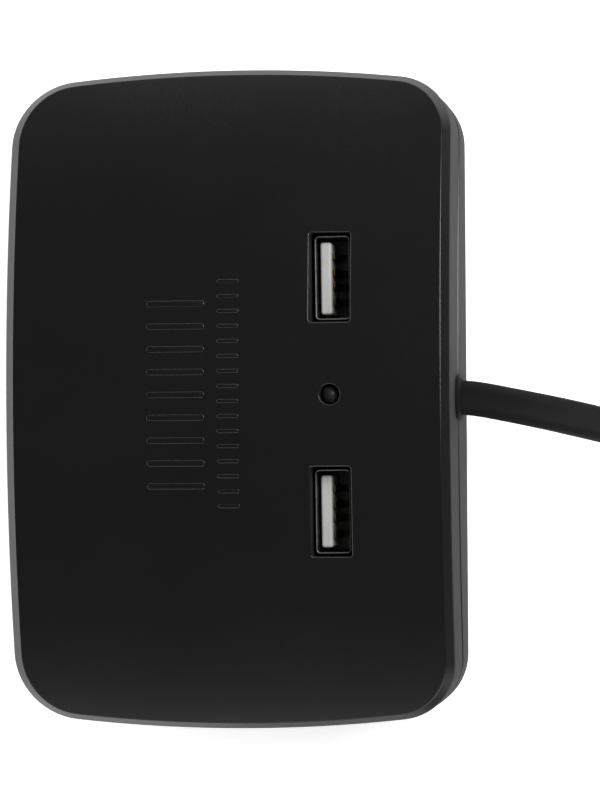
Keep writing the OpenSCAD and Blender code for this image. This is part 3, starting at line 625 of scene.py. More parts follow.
def tidy(piece, merge=0.0005):
    """Merges doubles and points every face outwards."""
    work = bmesh.new()
    work.from_mesh(piece.data)
    bmesh.ops.remove_doubles(work, verts=work.verts, dist=merge)
    bmesh.ops.dissolve_degenerate(work, dist=merge / 5, edges=work.edges)
    bmesh.ops.recalc_face_normals(work, faces=work.faces)
    work.to_mesh(piece.data)
    work.free()


def bake(piece):
    """Turns a piece's modifiers into its plain mesh."""
    bpy.context.view_layer.update()
    evaluated = piece.evaluated_get(bpy.context.evaluated_depsgraph_get())
    mesh = bpy.data.meshes.new_from_object(evaluated)
    old = piece.data
    piece.modifiers.clear()
    piece.data = mesh
    bpy.data.meshes.remove(old)


def combine(piece, operation, *parts):
    """Adds or takes away closed skins, one after the other."""
    helpers = []
    for part in parts:
        helper = raw_piece("helper", part)
        modifier = piece.modifiers.new("Combine", "BOOLEAN")
        modifier.operation, modifier.solver, modifier.object = operation, "EXACT", helper
        helpers.append(helper)
    bake(piece)
    for helper in helpers:
        discard(helper)
    tidy(piece)


def discard(piece):
    mesh = piece.data
    bpy.data.objects.remove(piece)
    bpy.data.meshes.remove(mesh)


def finish(piece, slot, body="root", stands_for=(), crease=32):
    """Turns a piece into metres, shades it, gives it its finish, and fixes it to its body."""
    mesh = piece.data
    mesh.transform(Matrix.Scale(MM, 4))
    mesh.shade_smooth()
    mesh.set_sharp_from_angle(angle=math.radians(crease))
    mesh.materials.clear()
    mesh.materials.append(FINISHES[slot])
    mesh.update()
    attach(piece, body)
    if stands_for:
        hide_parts(*stands_for)
    return piece


def favour_broad_faces(piece):
    """Shades broad faces flat, so that only the narrow faces of a rounded edge turn the light."""
    piece.modifiers.new("broad", "WEIGHTED_NORMAL").keep_sharp = True
    bake(piece)


def turned(profile, place, steps=96, closed=True):
    """A shape turned about an axis: profile points are (radius, distance along the axis)."""
    rings = [[place(a, b, along) for a, b in circle(radius, steps)] for radius, along in profile]
    if closed:
        return skin(rings, looped=True)
    return skin(rings, start=None, end=None)


def block(x0, x1, y0, y1, z0, z1):
    """A plain box, for cutting and joining only."""
    low = [(x0, y0, z0), (x1, y0, z0), (x1, y1, z0), (x0, y1, z0)]
    return skin([low, [(x, y, z1) for x, y, _ in low]])


# ---- repeated pieces ----


def new_tree(name, **kinds):
    """An empty geometry tree with the given inputs, one for each name, and one geometry output."""
    tree = bpy.data.node_groups.new(name, "GeometryNodeTree")
    for label, kind in kinds.items():
        tree.interface.new_socket(label, in_out="INPUT", socket_type="NodeSocket" + kind)
    tree.interface.new_socket("Geometry", in_out="OUTPUT", socket_type="NodeSocketGeometry")
    return tree, tree.links.new, tree.nodes.new("NodeGroupInput"), tree.nodes.new("NodeGroupOutput")


def copies_tree(name, around_axis):
    """A geometry tree that copies a piece onto the host's points, or around the X axis through a point."""
    kinds = {"Points": "Geometry", "Piece": "Object", "Material": "Material"}
    if around_axis:
        kinds.update({"Count": "Int", "Axis point": "Vector"})
    tree, link, inputs, output = new_tree(name, **kinds)
    add = tree.nodes.new
    piece = add("GeometryNodeObjectInfo")
    copies = add("GeometryNodeInstanceOnPoints")
    real, paint = add("GeometryNodeRealizeInstances"), add("GeometryNodeSetMaterial")
    link(inputs.outputs["Piece"], piece.inputs["Object"])
    link(piece.outputs["Geometry"], copies.inputs["Instance"])
    link(inputs.outputs["Material"], paint.inputs["Material"])
    if around_axis:
        line = add("GeometryNodeMeshLine")
        line.inputs["Offset"].default_value = (0, 0, 0)
        turn = add("GeometryNodeRotateInstances")
        turn.inputs["Local Space"].default_value = False
        index, full, angle = add("GeometryNodeInputIndex"), add("ShaderNodeMath"), add("ShaderNodeMath")
        full.operation, angle.operation = "DIVIDE", "MULTIPLY"
        euler = add("ShaderNodeCombineXYZ")
        full.inputs[0].default_value = 2 * math.pi
        link(inputs.outputs["Count"], line.inputs["Count"])
        link(inputs.outputs["Count"], full.inputs[1])
        link(index.outputs[0], angle.inputs[0])
        link(full.outputs[0], angle.inputs[1])
        link(angle.outputs[0], euler.inputs["X"])
        link(euler.outputs[0], turn.inputs["Rotation"])
        link(inputs.outputs["Axis point"], turn.inputs["Pivot Point"])
        link(line.outputs[0], copies.inputs["Points"])
        link(copies.outputs[0], turn.inputs["Instances"])
        link(turn.outputs[0], real.inputs[0])
    else:
        points = add("GeometryNodeMeshToPoints")
        link(inputs.outputs["Points"], points.inputs["Mesh"])
        link(points.outputs[0], copies.inputs["Points"])
        link(copies.outputs[0], real.inputs[0])
    link(real.outputs[0], paint.inputs["Geometry"])
    link(paint.outputs[0], output.inputs[0])
    return tree


def run_tree(host, tree, values):
    """Adds the tree to a host, sets its inputs by their identifiers, and keeps the result as a mesh."""
    modifier = host.modifiers.new("Copies", "NODES")
    modifier.node_group = tree
    for item in tree.interface.items_tree:
        if item.name in values and item.in_out == "INPUT":
            modifier[item.identifier] = values[item.name]
    bake(host)
    return host


def copied(name, part, points, slot):
    """Copies of a part at each of the points."""
    source = raw_piece("source", part)
    host = raw_piece(name, (points, []))
    tree = bpy.data.node_groups.get("Copies on points") or copies_tree("Copies on points", False)
    run_tree(host, tree, {"Piece": source, "Material": FINISHES[slot]})
    discard(source)
    return host


def copied_around(name, part, count, axis_point, slot):
    """Copies of a part around the X axis through a point."""
    source = raw_piece("source", part)
    host = raw_piece(name, ([(0, 0, 0)], []))
    tree = bpy.data.node_groups.get("Copies around X") or copies_tree("Copies around X", True)
    run_tree(host, tree, {"Piece": source, "Material": FINISHES[slot], "Count": count,
                          "Axis point": axis_point})
    discard(source)
    return host


def absorb(piece, other):
    """Moves another piece's mesh into this one."""
    work = bmesh.new()
    work.from_mesh(piece.data)
    work.from_mesh(other.data)
    work.to_mesh(piece.data)
    work.free()
    discard(other)


# ---- the housing's form ----


class HousingForm:
    """The arched, bowed form of the housing, from the sizes that its walls share."""

    side_steps, corner_steps, end_steps = 20, 14, 28
    # The back's screws: x, and y beyond the corners' middles, near the socket side;
    # inset, and y short of the corners' middles, near the lead side.
    socket_screw_x, socket_screw_out = -14, 5.1
    lead_screw_inset, lead_screw_in = 8.6, 0.6

    def __init__(self):
        self.size = s = in_mm(settings().housing)
        self.half_width, self.half_length = s.width / 2, s.length / 2
        self.end_centre = self.half_length - s.end_bow

    def face(self, y):
        s = self.size
        return s.height - s.arch + math.sqrt(s.arch ** 2 - y * y)

    def seam(self, y):
        return self.face(y) - self.size.height + self.size.seam

    def corner(self, radius):
        """Middle of a corner's arc along Y, and the angle at which it meets the bowed end."""
        across = self.half_width - radius
        along = math.sqrt((self.size.end_bow - radius) ** 2 - across ** 2)
        return self.end_centre + along, math.atan2(along, across)

    def side(self, radius, inset):
        middle, angle = self.corner(radius)
        points = [(self.half_width - inset, middle * k / self.side_steps) for k in range(self.side_steps)]
        for k in range(self.corner_steps):
            a = angle * k / self.corner_steps
            points.append((self.half_width - radius + (radius - inset) * math.cos(a),
                           middle + (radius - inset) * math.sin(a)))
        return points

    def outline(self, inset):
        """The outline moved inwards, anticlockwise from the middle of the lead side."""
        s = self.size
        start = self.corner(s.lead_corner)[1]
        stop = math.pi - self.corner(s.socket_corner)[1]
        radius = s.end_bow - inset
        end = []
        for k in range(self.end_steps + 1):
            a = start + (stop - start) * k / self.end_steps
            end.append((radius * math.cos(a), self.end_centre + radius * math.sin(a)))
        socket_side = [(-x, y) for x, y in reversed(self.side(s.socket_corner, inset))]
        half = self.side(s.lead_corner, inset) + end + socket_side
        return half + [(x, -y) for x, y in reversed(half[1:-1])]

    def ring(self, inset, height):
        """The outline at an inset; height is a number, or a function of y."""
        rise = height if callable(height) else lambda y: height
        return [(x, y, rise(y)) for x, y in self.outline(inset)]

    def case_screws(self):
        s = self.size
        places = []
        for side in (-1, 1):
            places.append((self.socket_screw_x,
                           side * (self.corner(s.socket_corner)[0] + self.socket_screw_out)))
            places.append((self.half_width - self.lead_screw_inset,
                           side * (self.corner(s.lead_corner)[0] - self.lead_screw_in)))
        return places


def quarter(steps):
    return [math.pi / 2 * k / steps for k in range(steps + 1)]


def column(centre, radius, low, high, steps=40):
    """An upright round post whose ends follow functions of y."""
    return skin([[(x, y, f(y)) for x, y in circle(radius, steps, centre)] for f in (low, high)])


def level(z):
    return lambda y: z


# ---- operators, one for each piece or group ----


class SplitterOperator:
    """What the operators share."""

    bl_options = {"REGISTER", "UNDO"}


class SPLITTER_OT_stage(SplitterOperator, bpy.types.Operator):
    """Make the camera, the pale floor and the soft lights"""

    bl_idname = "splitter.stage"
    bl_label = "Stage"

    def execute(self, context):
        studio = settings().studio
        scene = context.scene
        scene.view_settings.view_transform = "Standard"
        camera_data = bpy.data.cameras.new("camera")
        camera = bpy.data.objects.new("camera", camera_data)
        scene.collection.objects.link(camera)
        right, up = Vector((0.99161, -0.0065, -0.1291)), Vector((0.00865, 0.99983, 0.01608))
        back = right.cross(up).normalized()
        turn = Matrix((right, back.cross(right), back)).transposed().to_4x4()
        camera.matrix_world = Matrix.Translation(Vector((76.618, -9.052, 534)) * MM) @ turn
        camera_data.lens, camera_data.sensor_width, camera_data.sensor_fit = studio.lens, 36, "AUTO"
        camera_data.clip_start, camera_data.clip_end = 0.05, 20
        scene.camera = camera

        half, below = studio.floor / 2, 0.1 * MM
        corners = [(x * half, y * half, -below) for x, y in ((-1, -1), (1, -1), (1, 1), (-1, 1))]
        floor = raw_piece("floor", (corners, [(0, 1, 2, 3)]))
        paper = Finish("paper", **{"Specular IOR Level": 0.2})
        paper.set(Base_Color=paper.mix(paper.noise(30), (0.9, 0.9, 0.9), (0.93, 0.93, 0.93)), Roughness=0.9,
                  Emission_Color=(1, 1, 1), Emission_Strength=studio.floor_glow)
        floor.data.materials.append(paper.material)
        floor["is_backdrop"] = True

        for name, place, extent in (("key_light", (0.46, 0.24, 0.73), (0.4, 0.4)),
                                    ("left_light", (-0.7, 0, 0.18), (1.2, 0.35)),
                                    ("far_light", (0, 0.8, 0.345), (1.3, 0.42)),
                                    ("near_light", (0, -0.75, 0.32), (1.3, 0.55))):
            self.light(name, getattr(studio, name), place, extent)
        world = scene.world or bpy.data.worlds.new("room")
        scene.world = world
        world.use_nodes = True
        background = next(n for n in world.node_tree.nodes if n.type == "BACKGROUND")
        background.inputs["Color"].default_value = (1, 1, 1, 1)
        background.inputs["Strength"].default_value = studio.ambient
        return {"FINISHED"}

    def light(self, name, power, place, extent):
        """A soft rectangular light that faces the housing."""
        data = bpy.data.lights.new(name, "AREA")
        data.shape, data.energy, data.size, data.size_y = "RECTANGLE", power, *extent
        lamp = bpy.data.objects.new(name, data)
        bpy.context.scene.collection.objects.link(lamp)
        lamp.location = place
        lamp.rotation_euler = (Vector((0, 0, 0.02)) - lamp.location).to_track_quat("-Z", "Y").to_euler()


# The lead's free runs: x, y, z in millimetres and the twist about its own line in degrees.
LEAD_ROUTE = [
    (26.25, 0, 18.5, 0), (33, 0, 18.5, 0), (35.5, -0.05, 18.5, 0), (38, -0.35, 18.45, 0),
    (41, -0.92, 18.3, 0), (44, -1.53, 18.1, 0), (47, -2.17, 17.7, -4), (50, -2.82, 17.2, -9),
    (56, -4.25, 15.8, -20), (63, -6.1, 13.3, -36), (70, -7.9, 10.4, -52), (78, -9.7, 7.1, -68),
    (86, -11.3, 4.7, -80), (94, -12.6, 3.5, -88), (102.2, -14.3, 3.2, -90)]
TAIL_ROUTE = [
    (121.5, -60.9, 8.6, -90), (116.3, -70, 9, -90), (111.1, -79, 9.6, -90), (106.8, -84.2, 10.2, -90),
    (101.2, -88.6, 11, -90), (96.4, -91.5, 11.8, -90), (91, -93.9, 12.4, -90), (85.05, -94, 12.4, -90)]
COIL_CENTRE = Vector((94, -45))
COIL_START = math.radians(75)


def coil_route(size):
    """The coil's middle line: inwards in the lower layer, up, and outwards in the upper one."""
    low, high = 0.5 + size.width / 2, 0.5 + size.width * 1.5
    turns = size.coil_turns
    steps = 24
    count = round(2 * turns * steps)
    climb = 0.16
    points = []
    for k in range(1, count):
        t = 2 * turns * k / count
        radius = size.coil_radius - size.coil_pitch * (t if t < turns else 2 * turns - t)
        share_up = min(1.0, max(0.0, (t - turns + climb) / (2 * climb)))
        share_up = share_up * share_up * (3 - 2 * share_up)
        angle = COIL_START - 2 * math.pi * t
        points.append((COIL_CENTRE.x + radius * math.cos(angle), COIL_CENTRE.y + radius * math.sin(angle),
                       low + (high - low) * share_up, -90))
    return points


def smooth_line(points, spacing):
    """Even points along a Catmull-Rom curve through the given ones; every coordinate is carried."""
    points = [Vector(p) for p in points]
    ends = [points[0] * 2 - points[1], *points, points[-1] * 2 - points[-2]]
    dense = []
    for k in range(1, len(ends) - 2):
        p0, p1, p2, p3 = ends[k - 1:k + 3]
        steps = max(4, math.ceil((p2 - p1).length / 0.2))
        for i in range(steps):
            t = i / steps
            dense.append(0.5 * (2 * p1 + (p2 - p0) * t + (2 * p0 - 5 * p1 + 4 * p2 - p3) * t * t
                                + (3 * p1 - p0 - 3 * p2 + p3) * t ** 3))
    dense.append(points[-1])
    total = [0.0]
    for a, b in zip(dense, dense[1:]):
        total.append(total[-1] + (b.xyz - a.xyz).length)
    count = round(total[-1] / spacing)
    line, k = [], 0
    for i in range(count + 1):
        goal = total[-1] * i / count
        while k < len(total) - 2 and total[k + 1] < goal:
            k += 1
        step = total[k + 1] - total[k]
        line.append(dense[k].lerp(dense[k + 1], (goal - total[k]) / step if step else 0))
    return line, total[-1]


def swept(line, section, level=Vector((0, 0, 1))):
    """A section carried along a line of (x, y, z, twist), as the frame's own lead is."""
    rings = []
    for k, point in enumerate(line):
        ahead = (line[min(k + 1, len(line) - 1)].xyz - line[max(k - 1, 0)].xyz).normalized()
        side = level.cross(ahead).normalized()
        up = ahead.cross(side)
        turn = math.radians(point.w)
        cos, sin = math.cos(turn), math.sin(turn)
        rings.append([point.xyz + side * (a * cos - b * sin) + up * (a * sin + b * cos) for a, b in section])
    return rings


def wrap_uv(piece, rings, spacing):
    """A UV map on a swept skin: across the section and along the line in millimetres."""
    count = len(rings[0])
    layer = piece.data.uv_layers.new(name="UVMap")
    for face in piece.data.polygons:
        around = [v % count for v in face.vertices]
        wraps = max(around) - min(around) > count / 2
        for loop, v, a in zip(face.loop_indices, face.vertices, around):
            across = (a + count if wraps and a < count / 2 else a) / count
            layer.data[loop].uv = (across, v // count * spacing)


def swept_piece(name, rings, spacing, looped=False):
    """A piece from the rings of a sweep, with its UV map."""
    mesh = bpy.data.meshes.new(name)
    verts, faces = skin(rings, looped=looped)
    mesh.from_pydata(verts, [], faces)
    piece = bpy.data.objects.new(name, mesh)
    bpy.context.scene.collection.objects.link(piece)
    wrap_uv(piece, rings, spacing)
    work = bmesh.new()
    work.from_mesh(mesh)
    bmesh.ops.recalc_face_normals(work, faces=work.faces)
    work.to_mesh(mesh)
    work.free()
    return piece


DECLARED = {}


class SPLITTER_OT_lead(SplitterOperator, bpy.types.Operator):
    """Make the flat lead with its coil, and the tie that holds the coil"""

    bl_idname = "splitter.lead"
    bl_label = "Lead and tie"

    def execute(self, context):
        size = in_mm(settings().cord)
        line, length = smooth_line(LEAD_ROUTE + coil_route(size) + TAIL_ROUTE, size.ring)
        lead = swept_piece("lead", swept(line, self.section(size)), length / len(line))
        finish(lead, "cord_jacket", stands_for=("cord_lead", "cord_coil", "cord_tail"), crease=50)
        tie = self.tie(size)
        path = [tuple(p.xyz * MM) for p in line]
        self.collar(size)
        DECLARED.update(lead=lead, tie=tie, path=path, width=size.width * MM)
        return {"FINISHED"}

    def section(self, size):
        """Across the flat lead: rounded edges, and faces that are a little hollow between its two cores."""
        w, h, r, dip = size.width / 2, size.thickness / 2, size.edge, 0.08
        half = [(w - r + r * math.cos(a), h - r + r * math.sin(a)) for a in quarter(6)]
        half += [(w - r - (w - r) * k / 4, h - dip * math.sin(a) ** 2) for k, a in enumerate(quarter(4)) if k]
        upper = half + [(-x, y) for x, y in reversed(half[:-1])]
        return upper + [(-x, -y) for x, y in upper]

    def collar(self, size):
        """A thin rubber collar around the lead where it leaves the housing."""
        face = HousingForm().half_width
        outer = rounded_box(size.width + 1.3, 11.5, 2.9, 7)
        hole = rounded_box(size.width + 0.12, size.thickness + 0.12, size.edge, 7)
        steps = ((hole, 0, -0.2), (outer, 0, -0.2), (outer, 0, 0.2), (outer, -0.1, 0.4),
                 (outer, -0.3, 0.5), (hole, 0.35, 0.5), (hole, 0.1, 0.42), (hole, 0, 0.2))
        rings = [[(face + x, y, size.exit_height + z) for y, z in grown(outline, offset)]
                 for outline, offset, x in steps]
        finish(raw_piece("lead_collar", skin(rings, looped=True)), "clamp_rubber", crease=50)

    def tie(self, size):
        """A woven strap around the coil's turns."""
        lead_half = COIL_HIGH.x / MM - COIL_CENTRE.x - size.coil_radius
        angle, gap, bend, spacing, edge = math.radians(165), 0.15, 1.2, 1.2, 0.1
        t, width = size.tie_thickness, size.tie_width
        low_r = size.coil_radius - size.coil_turns * size.coil_pitch - lead_half
        chord = math.sqrt(low_r ** 2 - (width / 2) ** 2) - gap
        out_r = size.coil_radius + lead_half + gap
        top = COIL_HIGH.z / MM + gap
        path = softened([(chord - t / 2, t / 2, bend), (out_r + t / 2, t / 2, bend),
                         (out_r + t / 2, top + t / 2, bend), (chord - t / 2, top + t / 2, bend)], 6)
        dense = []
        for k, p in enumerate(path):
            q = path[(k + 1) % len(path)]
            steps = max(1, round((Vector(q) - Vector(p)).length / spacing))
            dense += [tuple(Vector(p).lerp(Vector(q), i / steps)) for i in range(steps)]
        across = [(-width / 2, -t / 2 + edge), (-width / 2 + edge, -t / 2), (width / 2 - edge, -t / 2),
                  (width / 2, -t / 2 + edge), (width / 2, t / 2 - edge), (width / 2 - edge, t / 2),
                  (-width / 2 + edge, t / 2), (-width / 2, t / 2 - edge)]
        radial = Vector((math.cos(angle), math.sin(angle), 0))
        along = Vector((-math.sin(angle), math.cos(angle), 0))
        rings = []
        for k, (r, z) in enumerate(dense):
            before, after = Vector(dense[k - 1]), Vector(dense[(k + 1) % len(dense)])
            run = (after - before).normalized()
            out = Vector((run.y, -run.x))
            rings.append([Vector((COIL_CENTRE.x, COIL_CENTRE.y, 0)) + along * a + radial * (r + out.x * b)
                          + Vector((0, 0, z + out.y * b)) for a, b in across])
        return finish(swept_piece("tie", rings, spacing, looped=True), "tie_fabric", stands_for=("cord_tie",))


class SPLITTER_OT_housing(SplitterOperator, bpy.types.Operator):
    """Make the cover and the rear case, with their windows, holes, bosses and ribs"""

    bl_idname = "splitter.housing"
    bl_label = "Housing"

    inner_round = 0.6
    screw_boss, screw_pilot = 3.2, 1.5
    screw_bore = ((3.3, -1), (3.3, 0), (3.0, 0.3), (3.0, 3.2), (1.65, 3.2), (1.65, 24))
    post_y, post_inset, post_radius, post_pilot = 29.43, 3.6, 2.4, 1.05
    saddle_start, saddle_half, saddle_drop = 27.45, 5.9, 2.4
    # The case's two cross ribs: from the socket side, and from the cans' inner ends.
    rib_start, rib_inset, rib_thickness, rib_overhang, rib_drop = 6, 4, 1.6, 10.2, 7
    collar_wall, collar_depth = 1.1, 2
    panel, panel_depth = (40, 62), 0.35
    # Lines of raised marks: width, length, middle in x, first in y, step and count.
    marks = ((9.0, 0.95, -7.7, -13.5, 3.5, 9), (3.4, 0.6, 0.4, -16.6, 2.3, 16))

    def execute(self, context):
        self.form = HousingForm()
        self.cover()
        self.case()
        self.relief()
        return {"FINISHED"}

    def shell_top(self):
        """Rings of the cover from its ceiling, round its seam edge, to its face."""
        form, s = self.form, self.form.size
        low, inner = s.seam_gap, self.inner_round
        rings = [form.ring(s.wall + inner * (1 - math.cos(a)),
                           lambda y, a=a: form.face(y) - s.wall - inner * (1 - math.sin(a)))
                 for a in reversed(quarter(4))]
        rings.append(form.ring(s.wall, lambda y: form.seam(y) + low))
        rings.append(form.ring(s.seam_step + s.seam_edge, lambda y: form.seam(y) + low))
        rings.append(form.ring(s.seam_step, lambda y: form.seam(y) + low + s.seam_edge))
        c = s.face_chamfer
        corners = [(s.seam_step, c + 3), (s.seam_step, 0.88 * c, 0.5), (c, 0, 0.35), (c + 3, 0)]
        for inset, drop in softened(corners, 5, closed=False)[1:-1]:
            rings.append(self.edge_ring(inset, drop))
        return skin(rings, "strips", "strips")

    def edge_ring(self, inset, drop):
        """A ring of the face's chamfer, which is narrower along the bowed ends than along the long sides."""
        form, s = self.form, self.form.size
        ring = []
        for (x, y), (inner_x, inner_y) in zip(form.outline(0), form.outline(1)):
            narrowing = (1 - s.end_chamfer) * (inner_y - y) ** 2
            reach = s.seam_step + (inset - s.seam_step) * (1 - narrowing)
            x, y = x + (inner_x - x) * reach, y + (inner_y - y) * reach
            ring.append((x, y, form.face(y) - drop))
        return ring

    def shell_base(self):
        """Rings of the case from its floor, round its seam edge, to its back."""
        form, s = self.form, self.form.size
        inner = self.inner_round
        rings = [form.ring(s.wall + inner * (1 - math.cos(a)), s.wall + inner * (1 - math.sin(a)))
                 for a in reversed(quarter(4))]
        rings.append(form.ring(s.wall, form.seam))
        rings.append(form.ring(s.seam_edge, form.seam))
        rings.append(form.ring(0, lambda y: form.seam(y) - s.seam_edge / 2))
        rings += [form.ring(s.back_fillet * (1 - math.cos(a)), s.back_fillet * (1 - math.sin(a)))
                  for a in quarter(8)]
        return skin(rings, "strips", "strips")

    def window(self, centre, outline, flare, low):
        """A cutter through the face with a rounded rim."""
        form = self.form
        rings = [[(centre[0] + x, centre[1] + y, low) for x, y in outline]]
        for a in quarter(4):
            offset, drop = flare * (1 - math.cos(a)), flare * (1 - math.sin(a))
            rings.append([(centre[0] + x, centre[1] + y, form.face(centre[1] + y) - drop)
                          for x, y in grown(outline, offset)])
        rings.append([(centre[0] + x, centre[1] + y, form.size.height + 3)
                      for x, y in grown(outline, flare + 0.01)])
        return skin(rings)

    def socket_cutter(self, y, radius, depth, flare):
        """A round cutter through the socket side with a small chamfer at its mouth."""
        x0, z0 = -self.form.half_width, in_mm(settings().sockets).height
        profile = [(radius + flare + 1, -1), (radius + flare, 0), (radius, flare), (radius, depth)]
        return skin([[(x0 + along, y + a, z0 + b) for a, b in circle(r, 128)] for r, along in profile])

    def lead_cutter(self):
        """A slot through the lead side with a soft funnel at its mouth."""
        form, cord = self.form, in_mm(settings().cord)
        w, t = cord.width + 1, cord.thickness + 1
        outline = rounded_box(w, t, t / 2 - 0.05, 10)
        flare = 0.9
        steps = [(form.half_width - form.size.wall - 1, outline)]
        for a in quarter(6):
            offset, drop = flare * (1 - math.cos(a)), flare * (1 - math.sin(a))
            steps.append((form.half_width - drop, grown(outline, offset)))
        steps.append((form.half_width + 2, grown(outline, flare + 0.01)))
        return skin([[(x, y, form.size.seam + z) for y, z in points] for x, points in steps])

    def port_centres(self):
        x = (SHELL_LOW.x + SHELL_HIGH.x) / 2 / MM
        return [(x, (SHELL_LOW.y + SHELL_HIGH.y) / 2 / MM), (x, (SHELL_2_LOW.y + SHELL_2_HIGH.y) / 2 / MM)]

    def cover(self):
        form, s = self.form, self.form.size
        ports = in_mm(settings().ports)
        socket = in_mm(settings().sockets)
        gap = s.seam_gap
        cover = raw_piece("cover", self.shell_top())
        middle_wall = s.wall / 2
        board_top = SHELL_LOW.z / MM
        shell = (SHELL_HIGH - SHELL_LOW) / MM
        window = (shell.x + 2 * ports.clearance, shell.y + 2 * ports.clearance)
        collar = rounded_box(*(side + 2 * self.collar_wall for side in window), 0.9)
        foot = form.face(self.port_centres()[0][1]) - ports.recess - self.collar_depth

        def under_face(y):
            return form.face(y) - middle_wall

        inner = []
        for cx, cy in self.port_centres():
            inner.append(skin([[(cx + x, cy + y, foot) for x, y in collar],
                               [(cx + x, cy + y, under_face(cy + y)) for x, y in collar]]))
        light = ((LIGHT_LOW.x + LIGHT_HIGH.x) / 2 / MM, (LIGHT_LOW.y + LIGHT_HIGH.y) / 2 / MM)
        hole = ports.light + 0.15
        inner.append(column(light, hole + 1, level(SHELL_HIGH.z / MM - 1), under_face))
        for place in form.case_screws():
            inner.append(column(place, self.screw_boss, lambda y: form.seam(y) + gap, under_face))
        posts = [(form.half_width - s.wall - self.post_inset, side * self.post_y) for side in (-1, 1)]
        inner += [column(post, self.post_radius, level(board_top), under_face) for post in posts]
        combine(cover, "UNION", joined(*inner))
        cuts = [self.window(c, rounded_box(*window, 0.45), 0.22, board_top + 1) for c in self.port_centres()]
        cuts.append(self.window(light, circle(hole, 48), 0.14, board_top + 2))
        cuts += [self.socket_cutter(y, socket.lip + socket.hole_gap, s.wall + 1.6, 0.25)
                 for y in (-socket.pitch, 0, socket.pitch)]
        cuts.append(self.lead_cutter())
        cuts += [column(place, self.screw_pilot, level(5), level(18.2)) for place in form.case_screws()]
        cuts += [column(post, self.post_pilot, level(board_top - 1), level(board_top + 7)) for post in posts]
        combine(cover, "DIFFERENCE", joined(*cuts))
        finish(cover, "housing", stands_for=("front_cover",))
        favour_broad_faces(cover)
        self.follow_arch(cover.data)

    def follow_arch(self, mesh):
        """Gives the face the arch's own normals, so that its windows leave no trace in its gloss."""
        form = self.form
        normals = [tuple(corner.vector) for corner in mesh.corner_normals]
        for face in mesh.polygons:
            spots = [mesh.vertices[v].co / MM for v in face.vertices]
            if face.normal.z > 0.9 and all(abs(p.z - form.face(p.y)) < 0.01 for p in spots):
                for loop, p in zip(face.loop_indices, spots):
                    normals[loop] = (0, p.y / form.size.arch, math.sqrt(1 - (p.y / form.size.arch) ** 2))
        mesh.normals_split_custom_set(normals)

    def case(self):
        form, s = self.form, self.form.size
        socket = in_mm(settings().sockets)
        case = raw_piece("case", self.shell_base())
        inner = [column(place, self.screw_boss, level(s.wall / 2), form.seam) for place in form.case_screws()]
        combine(case, "UNION", joined(*inner))
        floor, reach = s.wall / 2, socket.pitch + self.rib_overhang
        ribs = [block(x - form.half_width, x - form.half_width + self.rib_thickness, -reach, reach, floor,
                      socket.height - self.rib_drop) for x in (self.rib_start, socket.depth - self.rib_inset)]
        ribs.append(block(self.saddle_start, form.half_width - floor, -self.saddle_half, self.saddle_half,
                          floor, s.seam - self.saddle_drop))
        combine(case, "UNION", joined(*ribs))
        cuts = [self.socket_cutter(y, socket.lip + socket.hole_gap, 33, 0.25)
                for y in (-socket.pitch, 0, socket.pitch)]
        cuts.append(self.lead_cutter())
        for place in form.case_screws():
            cuts.append(skin([[(x, y, z) for x, y in circle(radius, 48, place)]
                              for radius, z in self.screw_bore]))
        panel = rounded_box(*self.panel, 3, 8)
        cuts.append(skin([[(x, y, z) for x, y in grown(panel, offset)]
                          for offset, z in ((0.3, -1), (0.3, 0), (0, self.panel_depth))]))
        combine(case, "DIFFERENCE", joined(*cuts))
        finish(case, "housing", stands_for=("rear_case",))

    def relief(self):
        """Plain raised marks on the face: a line of broad bars, and a line of small ones beside it."""
        form = self.form
        parts = []
        for width, length, centre_x, first, step, count in self.marks:
            outline = rounded_box(width, length, length / 2 - 0.02, 6)
            for y0 in (first + step * k for k in range(count)):
                parts.append(skin([[(centre_x + x, y0 + y, form.face(y0 + y) + rise)
                                    for x, y in grown(outline, offset)]
                                   for offset, rise in ((0, -0.3), (0, 0.03), (-0.06, 0.07), (-0.15, 0.08))]))
        marks = raw_piece("face_marks", joined(*parts))
        finish(marks, "housing", crease=60)


